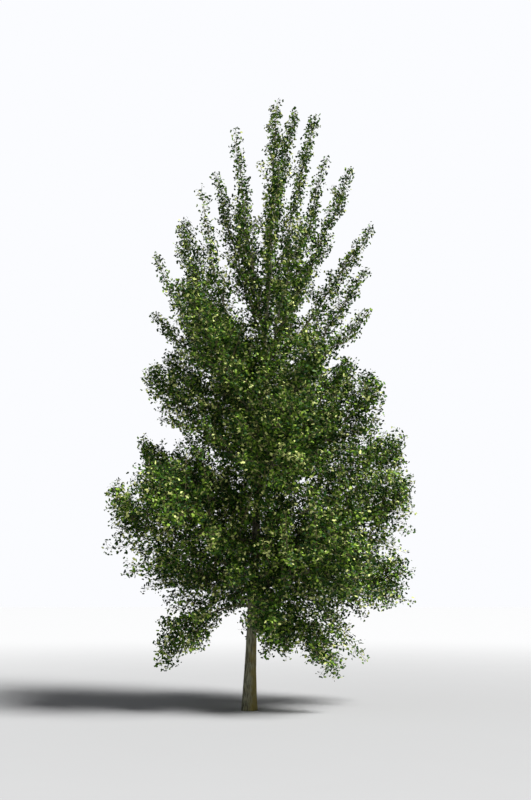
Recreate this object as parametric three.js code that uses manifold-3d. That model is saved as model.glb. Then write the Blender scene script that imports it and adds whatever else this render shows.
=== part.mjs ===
// A young ginkgo tree about 10.4 m tall, with one trunk, tapering boughs and masses of leafy twigs.
// Millimetres, +Z up. The origin is the centre of the flat cut under the trunk, at ground level.
// The front is -Y and the right is +X. A bearing turns from +X towards +Y, in degrees.

import * as THREE from "three";
import { mergeVertices } from "three/addons/utils/BufferGeometryUtils.js";
import Module from "manifold-3d";

const wasm = await Module();
wasm.setup();

// The trunk leans a little to the right and runs up through the crown to the foot of the leader.
const TRUNK = { top: 9200, treeTop: 10400, lean: 460, leanPower: 1.15 };
const TRUNK_WALL = { width: 158, taper: 1.1, tip: 4, flare: 90, flareHeight: 550 };
const TRUNK_RINGS = { sides: 15, steps: 13, crowding: 1.6 };
const ROOT_LOBES = { count: 5, depth: 9, height: 240 };

// Each bough leaves the trunk at the height foot, and its foliage ends at the height tip, reach away.
const RIGHT_BOUGHS = [
  { foot: 1500, bearing: -24, reach: 1420, tip: 640 },
  { foot: 1640, bearing: 20, reach: 2660, tip: 2150 },
  { foot: 1980, bearing: -24, reach: 2540, tip: 3280 },
  { foot: 2560, bearing: 14, reach: 2540, tip: 4250 },
  { foot: 3260, bearing: -22, reach: 2090, tip: 4980 },
  { foot: 3800, bearing: 28, reach: 1880, tip: 5680 },
  { foot: 4620, bearing: 6, reach: 1820, tip: 6500 },
  { foot: 4440, bearing: -32, reach: 1950, tip: 6780 },
  { foot: 5150, bearing: -2, reach: 1870, tip: 7960 },
  { foot: 5560, bearing: 24, reach: 1780, tip: 9450, bow: 0.13 },
  { foot: 6000, bearing: -30, reach: 1190, tip: 9010, bow: 0.5 },
  { foot: 6100, bearing: 8, reach: 900, tip: 10170 },
  { foot: 8000, bearing: -20, reach: 470, tip: 10120 },
];
const LEFT_BOUGHS = [
  { foot: 1570, bearing: 190, reach: 1430, tip: 700 },
  { foot: 1760, bearing: 154, reach: 1850, tip: 2250 },
  { foot: 2080, bearing: 197, reach: 2320, tip: 3240, bow: 0.17 },
  { foot: 2900, bearing: 166, reach: 1980, tip: 4100 },
  { foot: 3560, bearing: 203, reach: 1880, tip: 5220 },
  { foot: 3980, bearing: 156, reach: 1750, tip: 5800 },
  { foot: 4790, bearing: 175, reach: 1890, tip: 6440 },
  { foot: 4600, bearing: 187, reach: 1790, tip: 7400, bow: 0.48 },
  { foot: 4300, bearing: 160, reach: 1500, tip: 8360, bow: 0.79 },
  { foot: 4920, bearing: 198, reach: 1080, tip: 8620, bow: 1.5 },
  { foot: 5800, bearing: 158, reach: 950, tip: 9180, bow: 0.4 },
  { foot: 5950, bearing: 186, reach: 520, tip: 9840, bow: 1.5 },
];
const LOW_BOUGHS = [
  { foot: 1430, bearing: 298, reach: 1130, tip: 960 },
  { foot: 1690, bearing: 78, reach: 1350, tip: 880 },
];

// The boughs towards the front and the back follow the crown's own outline. Their bearings fan out about
// the middle one of their side, less and less towards the top.
const DEPTH_BOUGHS = { perSide: 7, lowest: 1900, step: 620, lift: 0.62, liftFrom: 1100 };
const DEPTH_FAN = { lowest: 56, loss: 4.5 };
const SIDES = [
  { name: "front", bearing: 270, raise: 0, turn: 2.2 },
  { name: "back", bearing: 90, raise: 310, turn: 3.9 },
];
const CROWN = { reach: 2210, widest: 2600, halfHeight: 7900 };

// A bough rises in a slight bow below its chord, and one that weeps arches above it. A row above may give
// its own bow, as a share of its reach.
const BOW = { elbow: 0.74, rising: 0.08, weeping: -0.46 };
const BOUGH_WALL = { least: 4, perLength: 0.0075, trunkShare: 0.42, taper: 0.85, tip: 4.5 };
const BOUGH_RINGS = { sides: 6, steps: 3 };
const BOUGH_END = 0.25;
const LEADER_REACH = 450;

// A mass is twigs that branch off one stem, clad in flat fans that each stand for a spray of leaves.
// The lowest boughs are bare near the trunk. A low bough carries a broad mass, and a high one is a column.
// Slopes are in degrees from the stem. Headroom and crowding are shares of the spread and of a spray.
const HIGHEST_LIMB = 3500;
const HIGHEST_BROAD = 4400;
const BROAD = {
  spread: 120,
  perReach: 0.31,
  headroom: 0.6,
  twigPitch: 335,
  slope: 52,
  lift: 0.22,
  sprayPitch: 305,
  crowding: 0.68,
};
const COLUMN = {
  spread: 120,
  perReach: 0.27,
  headroom: 0,
  twigPitch: 560,
  slope: 40,
  lift: 0.3,
  sprayPitch: 400,
  crowding: 0.74,
};
const STEM = { sides: 4, steps: 3, leastRadius: 9, end: 0.955, pathSteps: 8 };
const TWIG = { fewest: 3, first: 0.06, last: 0.8, base: 1.16, share: 0.62, shortened: [1, 0.75, 0.5] };
const SPRAY = { least: 235, perSpread: 0.36, slope: 44, lift: 0.08, tries: 5, smallest: 0.7, nextTurn: 1.3 };
const SPRAY_SHAPE = { shoulder: 0.66, rim: 0.97, halfWidth: 0.56, fold: 0.03 };
const STEM_SPRAYS = { first: 0.1, last: 0.93, tipRoot: 0.935 };
const TWIG_SPRAYS = { first: 0.34, tipRoot: 0.86 };

// How far each seeded choice may stray from its plain value.
const STRAY = {
  twigPlace: [0.3, 0.7],
  twigTurn: [-0.3, 0.3],
  twigSlope: [0.85, 1.15],
  twigLength: [0.9, 1.3],
  sprayTurn: [-0.4, 0.4],
  spraySlope: [0.8, 1.2],
  spraySize: [0.9, 1.1],
  sprayRoll: [-1.1, 1.1],
};
const SPRAY_SEED = 500;

// A mass ends at its bough's tip, and shares a narrow border with its neighbours.
const OVERHANG = 60;
const SHARED_BORDER = 0.75;
const LOWEST_LEAF = 330;
const JOIN_GAP = 0.3;
const KEEP_CLEAR = 5;
const SPRAY_GAP = 1;
const TIDY_STEP = 0.03;
const MERGE_STEP = 1e-4;

const UP = new THREE.Vector3(0, 0, 1);
const GOLDEN_ANGLE = Math.PI * (3 - Math.sqrt(5));
const { degToRad } = THREE.MathUtils;

// Even numbers from 0 to 1 that come out the same on every run.
class Dice {
  constructor(seed) {
    this.state = (seed * 7919 + 104729) % 4294967296;
  }

  next() {
    this.state = (this.state * 1664525 + 1013904223) % 4294967296;
    return this.state / 4294967296;
  }

  within([low, high]) {
    return low + (high - low) * this.next();
  }
}

function trunkAxis(height) {
  const lean = TRUNK.lean * Math.pow(Math.max(height, 0) / TRUNK.treeTop, TRUNK.leanPower);
  return new THREE.Vector3(lean, 0, height);
}

function trunkRadius(height, angle) {
  const taper = Math.pow(Math.max(1 - height / TRUNK.treeTop, 0), TRUNK_WALL.taper);
  const flare = Math.exp(-height / TRUNK_WALL.flareHeight);
  const lobe = ROOT_LOBES.depth * Math.cos(ROOT_LOBES.count * angle) * Math.exp(-height / ROOT_LOBES.height);
  return (TRUNK_WALL.width * taper + TRUNK_WALL.flare * flare) / 2 + TRUNK_WALL.tip + lobe;
}

function crownReach(height) {
  const above = (height - CROWN.widest) / CROWN.halfHeight;
  return CROWN.reach * Math.sqrt(Math.max(1 - above * above, 0));
}

// Turns a closed geometry into a solid that can be joined and cut.
function solidOf(geometry) {
  const bare = geometry.clone();
  bare.deleteAttribute("normal");
  bare.deleteAttribute("uv");
  const merged = mergeVertices(bare, MERGE_STEP);
  const mesh = new wasm.Mesh({
    numProp: 3,
    vertProperties: merged.attributes.position.array,
    triVerts: new Uint32Array(merged.index.array),
  });
  return new wasm.Manifold(mesh);
}

function geometryOf(solid, origin) {
  const { vertProperties, triVerts } = solid.getMesh();
  const geometry = new THREE.BufferGeometry();
  geometry.setAttribute("position", new THREE.BufferAttribute(new Float32Array(vertProperties), 3));
  geometry.setIndex(new THREE.BufferAttribute(new Uint32Array(triVerts), 1));
  geometry.translate(-origin.x, -origin.y, -origin.z);
  geometry.computeVertexNormals();
  return geometry;
}

// A tapering tube: ring(t) gives the centre and two cross directions, and wall(t, angle) the radius.
function tube(ring, wall, sides, steps) {
  const geometry = new THREE.CylinderGeometry(1, 1, 1, sides, steps);
  const position = geometry.attributes.position;
  for (let i = 0; i < position.count; i++) {
    const x = position.getX(i);
    const z = position.getZ(i);
    const t = position.getY(i) + 0.5;
    const { centre, across, over } = ring(t);
    const angle = Math.atan2(z, x);
    const radius = Math.hypot(x, z) * wall(t, angle);
    const point = centre.clone();
    point.addScaledVector(across, Math.cos(angle) * radius);
    point.addScaledVector(over, Math.sin(angle) * radius);
    position.setXYZ(i, point.x, point.y, point.z);
  }
  return solidOf(geometry);
}

// The rings of the trunk crowd towards its foot, where the wall flares out.
function trunkSolid(grow = 0) {
  const across = new THREE.Vector3(1, 0, 0);
  const over = new THREE.Vector3(0, -1, 0);
  const heightAt = (t) => TRUNK.top * Math.pow(t, TRUNK_RINGS.crowding);
  const ring = (t) => ({ centre: trunkAxis(heightAt(t) + (t === 1 ? grow : 0)), across, over });
  const wall = (t, angle) => trunkRadius(heightAt(t), angle) + grow;
  return tube(ring, wall, TRUNK_RINGS.sides, TRUNK_RINGS.steps);
}

// A bough and the stem that its mass of foliage grows on share one curve, from t = 0 to t = 1.
function makeBough({ name, index, curve, side, hasLimb, kind, reach }) {
  const stemFrom = hasLimb ? BOUGH_END : 0;
  const stemPoint = (u) => THREE.MathUtils.lerp(stemFrom, 1, u);
  const path = [];
  for (let i = 0; i <= STEM.pathSteps; i++) path.push(curve.getPoint(stemPoint(i / STEM.pathSteps)));
  const length = curve.getLength();
  const stemLength = length * (1 - stemFrom);
  const spread = kind.spread + kind.perReach * reach;
  const top = Math.max(curve.v2.z, curve.v0.z) + kind.headroom * spread;
  return { name, index, curve, side, hasLimb, kind, reach, spread, stemPoint, path, length, stemLength, top };
}

function growBough({ name, foot, bearing, reach, tip, bow: ownBow }, index) {
  const start = trunkAxis(foot);
  const turn = degToRad(bearing);
  const out = new THREE.Vector3(Math.cos(turn), Math.sin(turn), 0);
  const rise = tip - foot;
  const bow = ownBow ?? (rise > 0 ? BOW.rising : BOW.weeping);
  const elbow = start.clone().addScaledVector(out, reach * BOW.elbow);
  elbow.z += rise * BOW.elbow - bow * reach;
  const end = start.clone().addScaledVector(out, reach);
  end.z = tip;
  const curve = new THREE.QuadraticBezierCurve3(start, elbow, end);
  const side = new THREE.Vector3(-out.y, out.x, 0);
  const hasLimb = foot < HIGHEST_LIMB;
  const kind = foot < HIGHEST_BROAD ? BROAD : COLUMN;
  return makeBough({ name, index, curve, side, hasLimb, kind, reach });
}

// The leader goes on from the trunk's own tip.
function growLeader(index) {
  const start = trunkAxis(TRUNK.top + JOIN_GAP);
  const end = trunkAxis(TRUNK.treeTop);
  const curve = new THREE.QuadraticBezierCurve3(start, start.clone().lerp(end, 0.5), end);
  const side = new THREE.Vector3(0, 1, 0);
  return makeBough({ name: "leader", index, curve, side, hasLimb: false, kind: COLUMN, reach: LEADER_REACH });
}

function depthBoughs() {
  const boughs = [];
  for (const side of SIDES) {
    for (let i = 0; i < DEPTH_BOUGHS.perSide; i++) {
      const foot = DEPTH_BOUGHS.lowest + side.raise + i * DEPTH_BOUGHS.step;
      const tip = foot + DEPTH_BOUGHS.lift * (foot - DEPTH_BOUGHS.liftFrom);
      const fan = DEPTH_FAN.lowest - DEPTH_FAN.loss * i;
      const bearing = side.bearing + fan * Math.sin(side.turn * (i + 1));
      boughs.push({ name: `${side.name}_${i + 1}`, foot, bearing, reach: crownReach(tip), tip });
    }
  }
  return boughs;
}

function allBoughs() {
  const named = (side) => (bough, i) => ({ name: `${side}_${i + 1}`, ...bough });
  const rows = [
    ...RIGHT_BOUGHS.map(named("right")),
    ...LEFT_BOUGHS.map(named("left")),
    ...LOW_BOUGHS.map(named("low")),
    ...depthBoughs(),
  ];
  const boughs = rows.map((row, i) => growBough(row, i + 1));
  boughs.push(growLeader(rows.length + 1));
  return boughs;
}

function boughRadius(bough, t) {
  const fromLength = BOUGH_WALL.least + BOUGH_WALL.perLength * bough.length;
  const foot = Math.min(fromLength, BOUGH_WALL.trunkShare * trunkRadius(bough.curve.v0.z, 0));
  return foot * Math.pow(1 - t, BOUGH_WALL.taper) + BOUGH_WALL.tip;
}

function stemRadius(bough, t) {
  return Math.max(boughRadius(bough, t), STEM.leastRadius);
}

// A stretch of a bough's path from t0 to t1, as a tapering tube.
function limbSolid(bough, t0, t1, sides, steps, radiusAt = boughRadius) {
  const at = (t) => THREE.MathUtils.lerp(t0, t1, t);
  const ring = (t) => {
    const forward = bough.curve.getTangent(at(t));
    const across = bough.side;
    return { centre: bough.curve.getPoint(at(t)), across, over: across.clone().cross(forward) };
  };
  const wall = (t) => radiusAt(bough, at(t));
  return tube(ring, wall, sides, steps);
}

// The stem starts a small gap past the end of its limb.
function stemSolid(bough) {
  if (!bough.hasLimb) return limbSolid(bough, 0, STEM.end, STEM.sides, STEM.steps, stemRadius);
  const nudge = 1e-3;
  const step = bough.curve.getPoint(BOUGH_END).distanceTo(bough.curve.getPoint(BOUGH_END + nudge));
  const from = BOUGH_END + (nudge * JOIN_GAP) / step;
  return limbSolid(bough, from, STEM.end, STEM.sides, STEM.steps, stemRadius);
}

// A three-sided twig from root to root + direction * length.
function twigSolid({ root, direction, length, radius }) {
  const cone = new THREE.ConeGeometry(radius, length, 3, 1);
  cone.translate(0, length / 2, 0);
  cone.applyQuaternion(new THREE.Quaternion().setFromUnitVectors(new THREE.Vector3(0, 1, 0), direction));
  cone.translate(root.x, root.y, root.z);
  return solidOf(cone);
}

// A fan that stands for one spray of leaves. One pair of a tetrahedron's corners becomes its root and
// its rim, and the other pair its shoulders, a little lower, so that it is folded along the middle.
function spraySolid({ root, direction, roll, length }) {
  const across = new THREE.Vector3().crossVectors(direction, UP).normalize();
  across.applyAxisAngle(direction, roll);
  const normal = new THREE.Vector3().crossVectors(direction, across);
  const fan = new THREE.TetrahedronGeometry(1, 0);
  const position = fan.attributes.position;
  for (let i = 0; i < position.count; i++) {
    const isRim = position.getZ(i) > 0 && position.getX(i) > 0;
    const isShoulder = position.getZ(i) < 0;
    const hand = Math.sign(position.getY(i));
    const point = root.clone();
    if (isRim) {
      point.addScaledVector(direction, SPRAY_SHAPE.rim * length);
      point.addScaledVector(normal, SPRAY_SHAPE.fold * length);
    }
    if (isShoulder) {
      point.addScaledVector(direction, SPRAY_SHAPE.shoulder * length);
      point.addScaledVector(across, hand * SPRAY_SHAPE.halfWidth * length);
      point.addScaledVector(normal, -SPRAY_SHAPE.fold * length);
    }
    position.setXYZ(i, point.x, point.y, point.z);
  }
  return solidOf(fan);
}

// The direction at a slope from the axis, turned about it, and lifted towards the sky.
function branchDirection(axis, turn, slope, lift) {
  const across = new THREE.Vector3().crossVectors(axis, UP).normalize();
  const around = across.applyAxisAngle(axis, turn);
  const direction = axis.clone().multiplyScalar(Math.cos(slope)).addScaledVector(around, Math.sin(slope));
  direction.addScaledVector(UP, lift);
  return direction.normalize();
}

// The twigs of one mass: their roots climb its stem and turn about it by the golden angle.
function growTwigs(bough) {
  const dice = new Dice(bough.index);
  const count = Math.max(TWIG.fewest, Math.round(bough.stemLength / bough.kind.twigPitch));
  const twigs = [];
  for (let i = 0; i < count; i++) {
    const u = TWIG.first + ((TWIG.last - TWIG.first) * (i + dice.within(STRAY.twigPlace))) / count;
    const t = bough.stemPoint(u);
    const turn = i * GOLDEN_ANGLE + dice.within(STRAY.twigTurn);
    const slope = degToRad(bough.kind.slope * dice.within(STRAY.twigSlope));
    const direction = branchDirection(bough.curve.getTangent(t), turn, slope, bough.kind.lift);
    const length = bough.spread * (TWIG.base - u) * dice.within(STRAY.twigLength);
    const radius = TWIG.share * stemRadius(bough, t);
    twigs.push({ root: bough.curve.getPoint(t), direction, length, radius });
  }
  return twigs;
}

function sprayLength(bough) {
  return SPRAY.least + SPRAY.perSpread * bough.spread;
}

// The places for sprays along the stem. The first is its tip, where a spray goes on to the bough's tip.
function placesOnStem(bough, carrier) {
  const tipRoot = bough.curve.getPoint(STEM_SPRAYS.tipRoot);
  const tipAxis = bough.curve.getTangent(STEM_SPRAYS.tipRoot);
  const tipLength = tipRoot.distanceTo(bough.curve.getPoint(1)) / SPRAY_SHAPE.rim;
  const places = [{ carrier, root: tipRoot, axis: tipAxis, length: tipLength, isTip: true }];
  const span = STEM_SPRAYS.last - STEM_SPRAYS.first;
  const count = Math.round((span * bough.stemLength) / bough.kind.sprayPitch);
  const length = sprayLength(bough);
  for (let i = 0; i < count; i++) {
    const t = bough.stemPoint(STEM_SPRAYS.first + (span * (i + 0.5)) / count);
    const axis = bough.curve.getTangent(t);
    places.push({ carrier, root: bough.curve.getPoint(t), axis, length, turn: i * GOLDEN_ANGLE });
  }
  return places;
}

function placesOnTwig(bough, { root, direction, length, carrier }) {
  const own = sprayLength(bough);
  const along = (u) => root.clone().addScaledVector(direction, length * u);
  const places = [{ carrier, root: along(TWIG_SPRAYS.tipRoot), axis: direction, length: own, isTip: true }];
  const count = Math.round(length / (own * bough.kind.crowding)) - 1;
  for (let i = 0; i < count; i++) {
    const u = TWIG_SPRAYS.first + ((TWIG_SPRAYS.tipRoot - TWIG_SPRAYS.first) * i) / count;
    places.push({ carrier, root: along(u), axis: direction, length: own, turn: i * GOLDEN_ANGLE });
  }
  return places;
}

// One try at a spray in its place. Later tries are smaller and turned elsewhere.
function poseSpray({ root, axis, length, turn = 0, isTip = false }, attempt, dice) {
  const roll = dice.within(STRAY.sprayRoll);
  if (isTip) return { root, direction: axis, roll, length };
  const around = turn + attempt * SPRAY.nextTurn + dice.within(STRAY.sprayTurn);
  const slope = degToRad(SPRAY.slope * dice.within(STRAY.spraySlope));
  const shrink = THREE.MathUtils.lerp(1, SPRAY.smallest, attempt / (SPRAY.tries - 1));
  const direction = branchDirection(axis, around, slope, SPRAY.lift);
  return { root, direction, roll, length: length * shrink * dice.within(STRAY.spraySize) };
}

// A solid with the box round it, so that far ones are passed over quickly.
function boxed(solid) {
  const box = solid.boundingBox();
  return { solid, box };
}

function near(a, b, gap) {
  for (let axis = 0; axis < 3; axis++) {
    if (a.box.min[axis] - gap > b.box.max[axis] || b.box.min[axis] - gap > a.box.max[axis]) return false;
  }
  return true;
}

function isClear(candidate, others, gap = KEEP_CLEAR) {
  return others.every((other) => {
    if (!near(candidate, other, gap)) return true;
    return candidate.solid.minGap(other.solid, gap) >= gap;
  });
}

// The distance from a point to a mass's stem, as a share of its spread.
function nearness(point, bough) {
  const segment = new THREE.Line3();
  const foot = new THREE.Vector3();
  let least = Infinity;
  for (let i = 0; i < STEM.pathSteps; i++) {
    segment.set(bough.path[i], bough.path[i + 1]);
    segment.closestPointToPoint(point, true, foot);
    least = Math.min(least, foot.distanceTo(point));
  }
  return least / bough.spread;
}

// True where a point lies in a mass's own space: within its bough's reach and nearest to its stem.
function ownsPoint(bough, point, boughs) {
  const start = bough.curve.v0;
  const out = Math.hypot(point.x - start.x, point.y - start.y);
  if (point.z < LOWEST_LEAF || point.z > bough.top + OVERHANG || out > bough.reach + OVERHANG) return false;
  const own = nearness(point, bough);
  return boughs.every((other) => other === bough || nearness(point, other) > own * SHARED_BORDER);
}

function sprayStaysIn(bough, { root, direction, length }, boughs) {
  const rim = root.clone().addScaledVector(direction, length * SPRAY_SHAPE.rim);
  const middle = root.clone().lerp(rim, SPRAY_SHAPE.shoulder);
  return ownsPoint(bough, rim, boughs) && ownsPoint(bough, middle, boughs);
}

// The twigs that end in the mass's own space, shortened where that lets them stay.
function trimTwigs(bough, boughs, others) {
  const kept = [];
  for (const twig of growTwigs(bough)) {
    for (const share of TWIG.shortened) {
      const shorter = { ...twig, length: twig.length * share };
      const tip = twig.root.clone().addScaledVector(twig.direction, shorter.length);
      if (!ownsPoint(bough, tip, boughs)) continue;
      const carrier = boxed(twigSolid(shorter));
      if (!isClear(carrier, others)) continue;
      kept.push({ ...shorter, carrier });
      break;
    }
  }
  return kept;
}

// The sprays of one mass. One that would leave its space or touch more than its own twig is left out.
function growSprays(bough, boughs, places, wood, others) {
  const dice = new Dice(bough.index + SPRAY_SEED);
  const kept = [];
  for (const place of places) {
    const free = wood.filter((piece) => piece !== place.carrier);
    for (let attempt = 0; attempt < SPRAY.tries; attempt++) {
      const spray = poseSpray(place, attempt, dice);
      if (!sprayStaysIn(bough, spray, boughs)) continue;
      const candidate = boxed(spraySolid(spray));
      if (!isClear(candidate, others) || !isClear(candidate, [...free, ...kept], SPRAY_GAP)) continue;
      kept.push(candidate);
      break;
    }
  }
  return kept;
}

// One mass: its stem, twigs and sprays joined, and cut clear of the trunk.
function foliageSolid(bough, boughs, trunk, taken) {
  const others = taken.filter((entry) => entry.owner !== bough);
  const stem = boxed(stemSolid(bough));
  const twigs = trimTwigs(bough, boughs, others);
  const places = [...placesOnStem(bough, stem), ...twigs.flatMap((twig) => placesOnTwig(bough, twig))];
  const wood = [stem, ...twigs.map((twig) => twig.carrier)];
  const pieces = [...wood, ...growSprays(bough, boughs, places, wood, others)];
  for (const piece of pieces) taken.push({ ...piece, owner: bough });
  const joined = wasm.Manifold.union(pieces.map((piece) => piece.solid));
  const bodies = joined.subtract(trunk).simplify(TIDY_STEP).decompose();
  return bodies.reduce((largest, body) => (body.volume() > largest.volume() ? body : largest));
}

function finish(color, roughness) {
  return new THREE.MeshStandardMaterial({ color, roughness, metalness: 0, side: THREE.FrontSide });
}

function addMesh(group, name, solid, origin, material) {
  const mesh = new THREE.Mesh(geometryOf(solid, origin), material);
  mesh.name = name;
  mesh.position.copy(origin);
  group.add(mesh);
}

function buildTree() {
  const bark = finish(0x5b5848, 0.9);
  const leaves = finish(0x3c5226, 0.55);
  const tree = new THREE.Group();
  const boughs = allBoughs();
  addMesh(tree, "trunk", trunkSolid(), new THREE.Vector3(), bark);

  const cutter = trunkSolid(JOIN_GAP);
  const taken = [{ ...boxed(cutter), owner: null }];
  for (const bough of boughs.filter((one) => one.hasLimb)) {
    const limb = limbSolid(bough, 0, BOUGH_END, BOUGH_RINGS.sides, BOUGH_RINGS.steps).subtract(cutter);
    taken.push({ ...boxed(limb), owner: null });
    addMesh(tree, `bough_${bough.name}`, limb, bough.curve.getPoint(0), bark);
  }
  for (const bough of boughs) taken.push({ ...boxed(stemSolid(bough)), owner: bough });
  for (const bough of boughs) {
    const solid = foliageSolid(bough, boughs, cutter, taken);
    addMesh(tree, `foliage_${bough.name}`, solid, bough.path[0], leaves);
  }
  return tree;
}

export default buildTree();
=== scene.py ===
"""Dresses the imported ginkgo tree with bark, twigs and fan leaves, on a pale studio floor.

Metres, +Z up. The origin is the centre of the flat cut under the trunk, at ground level. The front is
-Y and the right is +X. A bearing turns from +X towards +Y, in degrees. The boughs and their twigs grow
by the same rule, sizes and seeds as the solids, and go on here to finer twigs, shoots and leaves.
"""

import logging
import math
from collections.abc import Callable, Mapping, Sequence
from dataclasses import dataclass, fields, replace
from enum import Enum
from functools import cached_property
from typing import NamedTuple

import bpy
import numpy as np
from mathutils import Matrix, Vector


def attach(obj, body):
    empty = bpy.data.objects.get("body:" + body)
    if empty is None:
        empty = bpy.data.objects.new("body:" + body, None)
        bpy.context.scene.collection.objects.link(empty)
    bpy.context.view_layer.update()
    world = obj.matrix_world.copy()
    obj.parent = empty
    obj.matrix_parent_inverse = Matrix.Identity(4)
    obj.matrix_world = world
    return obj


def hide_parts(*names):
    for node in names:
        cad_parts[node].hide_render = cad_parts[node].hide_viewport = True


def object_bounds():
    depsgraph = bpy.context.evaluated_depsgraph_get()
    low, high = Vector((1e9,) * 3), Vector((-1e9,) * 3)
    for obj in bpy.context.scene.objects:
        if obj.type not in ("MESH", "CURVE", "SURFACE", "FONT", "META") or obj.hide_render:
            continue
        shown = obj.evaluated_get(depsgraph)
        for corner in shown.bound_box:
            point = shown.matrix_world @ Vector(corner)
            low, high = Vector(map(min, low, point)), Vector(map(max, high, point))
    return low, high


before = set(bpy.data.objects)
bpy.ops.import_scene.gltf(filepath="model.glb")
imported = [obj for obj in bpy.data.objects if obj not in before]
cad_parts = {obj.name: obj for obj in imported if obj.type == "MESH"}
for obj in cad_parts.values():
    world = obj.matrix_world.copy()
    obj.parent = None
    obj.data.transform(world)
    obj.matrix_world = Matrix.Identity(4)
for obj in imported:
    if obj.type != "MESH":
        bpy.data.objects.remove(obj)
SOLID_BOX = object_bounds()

log = logging.getLogger("ginkgo")

Array = np.ndarray
UP = np.array([0.0, 0.0, 1.0])
GOLDEN_ANGLE = math.pi * (3 - math.sqrt(5))
# A vector no longer than this has no direction.
NO_LENGTH = 1e-9


# Numbers and directions


class Dice:
    """Even numbers from 0 to 1 that come out as they do for the solids."""

    modulus = 4294967296
    multiplier = 1664525
    increment = 1013904223
    seed_step = 7919
    seed_start = 104729

    def __init__(self, seed: int) -> None:
        """Starts the row of numbers for one seed."""
        self.state = (seed * self.seed_step + self.seed_start) % self.modulus

    def within(self, low: float, high: float) -> float:
        """Returns the next number, between low and high."""
        self.state = (self.state * self.multiplier + self.increment) % self.modulus
        return low + (high - low) * self.state / self.modulus


def unit(vectors: Array) -> Array:
    """Returns each vector at length one."""
    return vectors / np.maximum(np.linalg.norm(vectors, axis=-1, keepdims=True), NO_LENGTH)


def dot(a: Array, b: Array) -> Array:
    """Returns the dot product of each pair of vectors, kept as a column."""
    return np.sum(a * b, axis=-1, keepdims=True)


def ease(share: Array) -> Array:
    """Returns a share from 0 to 1 with a soft start and a soft end."""
    share = np.clip(share, 0, 1)
    return share * share * (3 - 2 * share)


def numbered(count: Array) -> tuple[Array, Array]:
    """Returns each thing's row and its number there, from the count of things on each row."""
    row = np.repeat(np.arange(len(count)), count)
    return row, np.arange(len(row)) - np.repeat(np.cumsum(count) - count, count)


def spiral(chance: np.random.Generator, number: Array, loose: float, first: float = 0.0) -> Array:
    """Returns how far branches are turned about their axis: a golden spiral, with each a little loose."""
    return number * GOLDEN_ANGLE + first + chance.uniform(-loose, loose, len(number))


def branch_direction(axis: Array, turn: Array, slope: Array, lift: float) -> Array:
    """Gives the directions of branches that leave an axis.

    Args:
        axis: Unit directions of the axis, one row for each branch.
        turn: How far each branch is turned about the axis, in radians.
        slope: The angle between the branch and the axis, in radians.
        lift: How strongly each branch turns up towards the sky.

    Returns:
        Unit directions, one row for each branch.
    """
    across = unit(np.cross(axis, UP))
    around = across * np.cos(turn)[:, None] + np.cross(axis, across) * np.sin(turn)[:, None]
    return unit(axis * np.cos(slope)[:, None] + around * np.sin(slope)[:, None] + UP * lift)


def wall_noise(chance: np.random.Generator, turn: Array, rise: Array, cells: int) -> Array:
    """Makes smooth noise on a tube's wall that meets itself after one turn.

    Args:
        chance: The seeded source of the noise.
        turn: Places round the tube, from 0 to 1.
        rise: Places along the tube, counted in cells of the noise.
        cells: How many cells go round the tube.

    Returns:
        A value from 0 to 1 at each place.
    """
    lattice = chance.random((int(rise.max()) + 2, cells))
    column, row = np.floor(turn * cells).astype(int), np.floor(rise).astype(int)
    east, north = ease(turn * cells - column), ease(rise - row)
    left, right = column % cells, (column + 1) % cells
    low = lattice[row, left] * (1 - east) + lattice[row, right] * east
    high = lattice[row + 1, left] * (1 - east) + lattice[row + 1, right] * east
    return low * (1 - north) + high * north


# Meshes


def mesh_object(
    name: str,
    points: Array,
    faces: Sequence[Array],
    finish: bpy.types.Material,
    places: Array | None = None,
) -> bpy.types.Object:
    """Makes one smooth mesh object and dresses it.

    Args:
        name: The piece's name.
        points: The corners, one row each.
        faces: Groups of faces, each an array with as many columns as its faces have corners.
        finish: The material all over it.
        places: A place on the surface's own pattern for each corner, where the finish needs one.

    Returns:
        The new object, linked to the scene.
    """
    mesh = bpy.data.meshes.new(name)
    corners = np.concatenate([group.ravel() for group in faces]).astype(np.int32)
    sizes = np.concatenate([np.full(len(group), group.shape[1]) for group in faces])
    starts = np.concatenate([[0], np.cumsum(sizes)[:-1]]).astype(np.int32)
    mesh.vertices.add(len(points))
    mesh.vertices.foreach_set("co", points.astype(np.float32).ravel())
    mesh.loops.add(len(corners))
    mesh.loops.foreach_set("vertex_index", corners)
    mesh.polygons.add(len(starts))
    mesh.polygons.foreach_set("loop_start", starts)
    mesh.polygons.foreach_set("use_smooth", np.ones(len(starts), bool))
    if places is not None:
        layer = mesh.uv_layers.new(name="blade")
        layer.uv.foreach_set("vector", places[corners].astype(np.float32).ravel())
    mesh.update(calc_edges=True)
    mesh.materials.append(finish)
    piece = bpy.data.objects.new(name, mesh)
    bpy.context.scene.collection.objects.link(piece)
    return piece


def tube_mesh(paths: Array, radii: Array, side: Array) -> tuple[Array, Array]:
    """Sweeps round tubes along many paths at once.

    Args:
        paths: The middle of each ring, shaped (tubes, rings, 3).
        radii: The radius at each ring and side, shaped (tubes, rings, sides).
        side: A direction that is across each tube, one row for each.

    Returns:
        The corners of all tubes, and their four-cornered faces.
    """
    tubes, rings, sides = radii.shape
    forward = unit(np.gradient(paths, axis=1))
    across = unit(side[:, None] - forward * dot(side[:, None], forward))
    over = np.cross(forward, across)
    angle = np.linspace(0, 2 * math.pi, sides, endpoint=False)
    spoke = across[:, :, None] * np.cos(angle)[:, None] + over[:, :, None] * np.sin(angle)[:, None]
    points = paths[:, :, None] + spoke * radii[..., None]
    number = np.arange(tubes * rings * sides).reshape(tubes, rings, sides)
    here, above = number[:, :-1], number[:, 1:]
    faces = np.stack([here, np.roll(here, -1, 2), np.roll(above, -1, 2), above], axis=-1)
    return points.reshape(-1, 3), faces.reshape(-1, 4)


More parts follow.
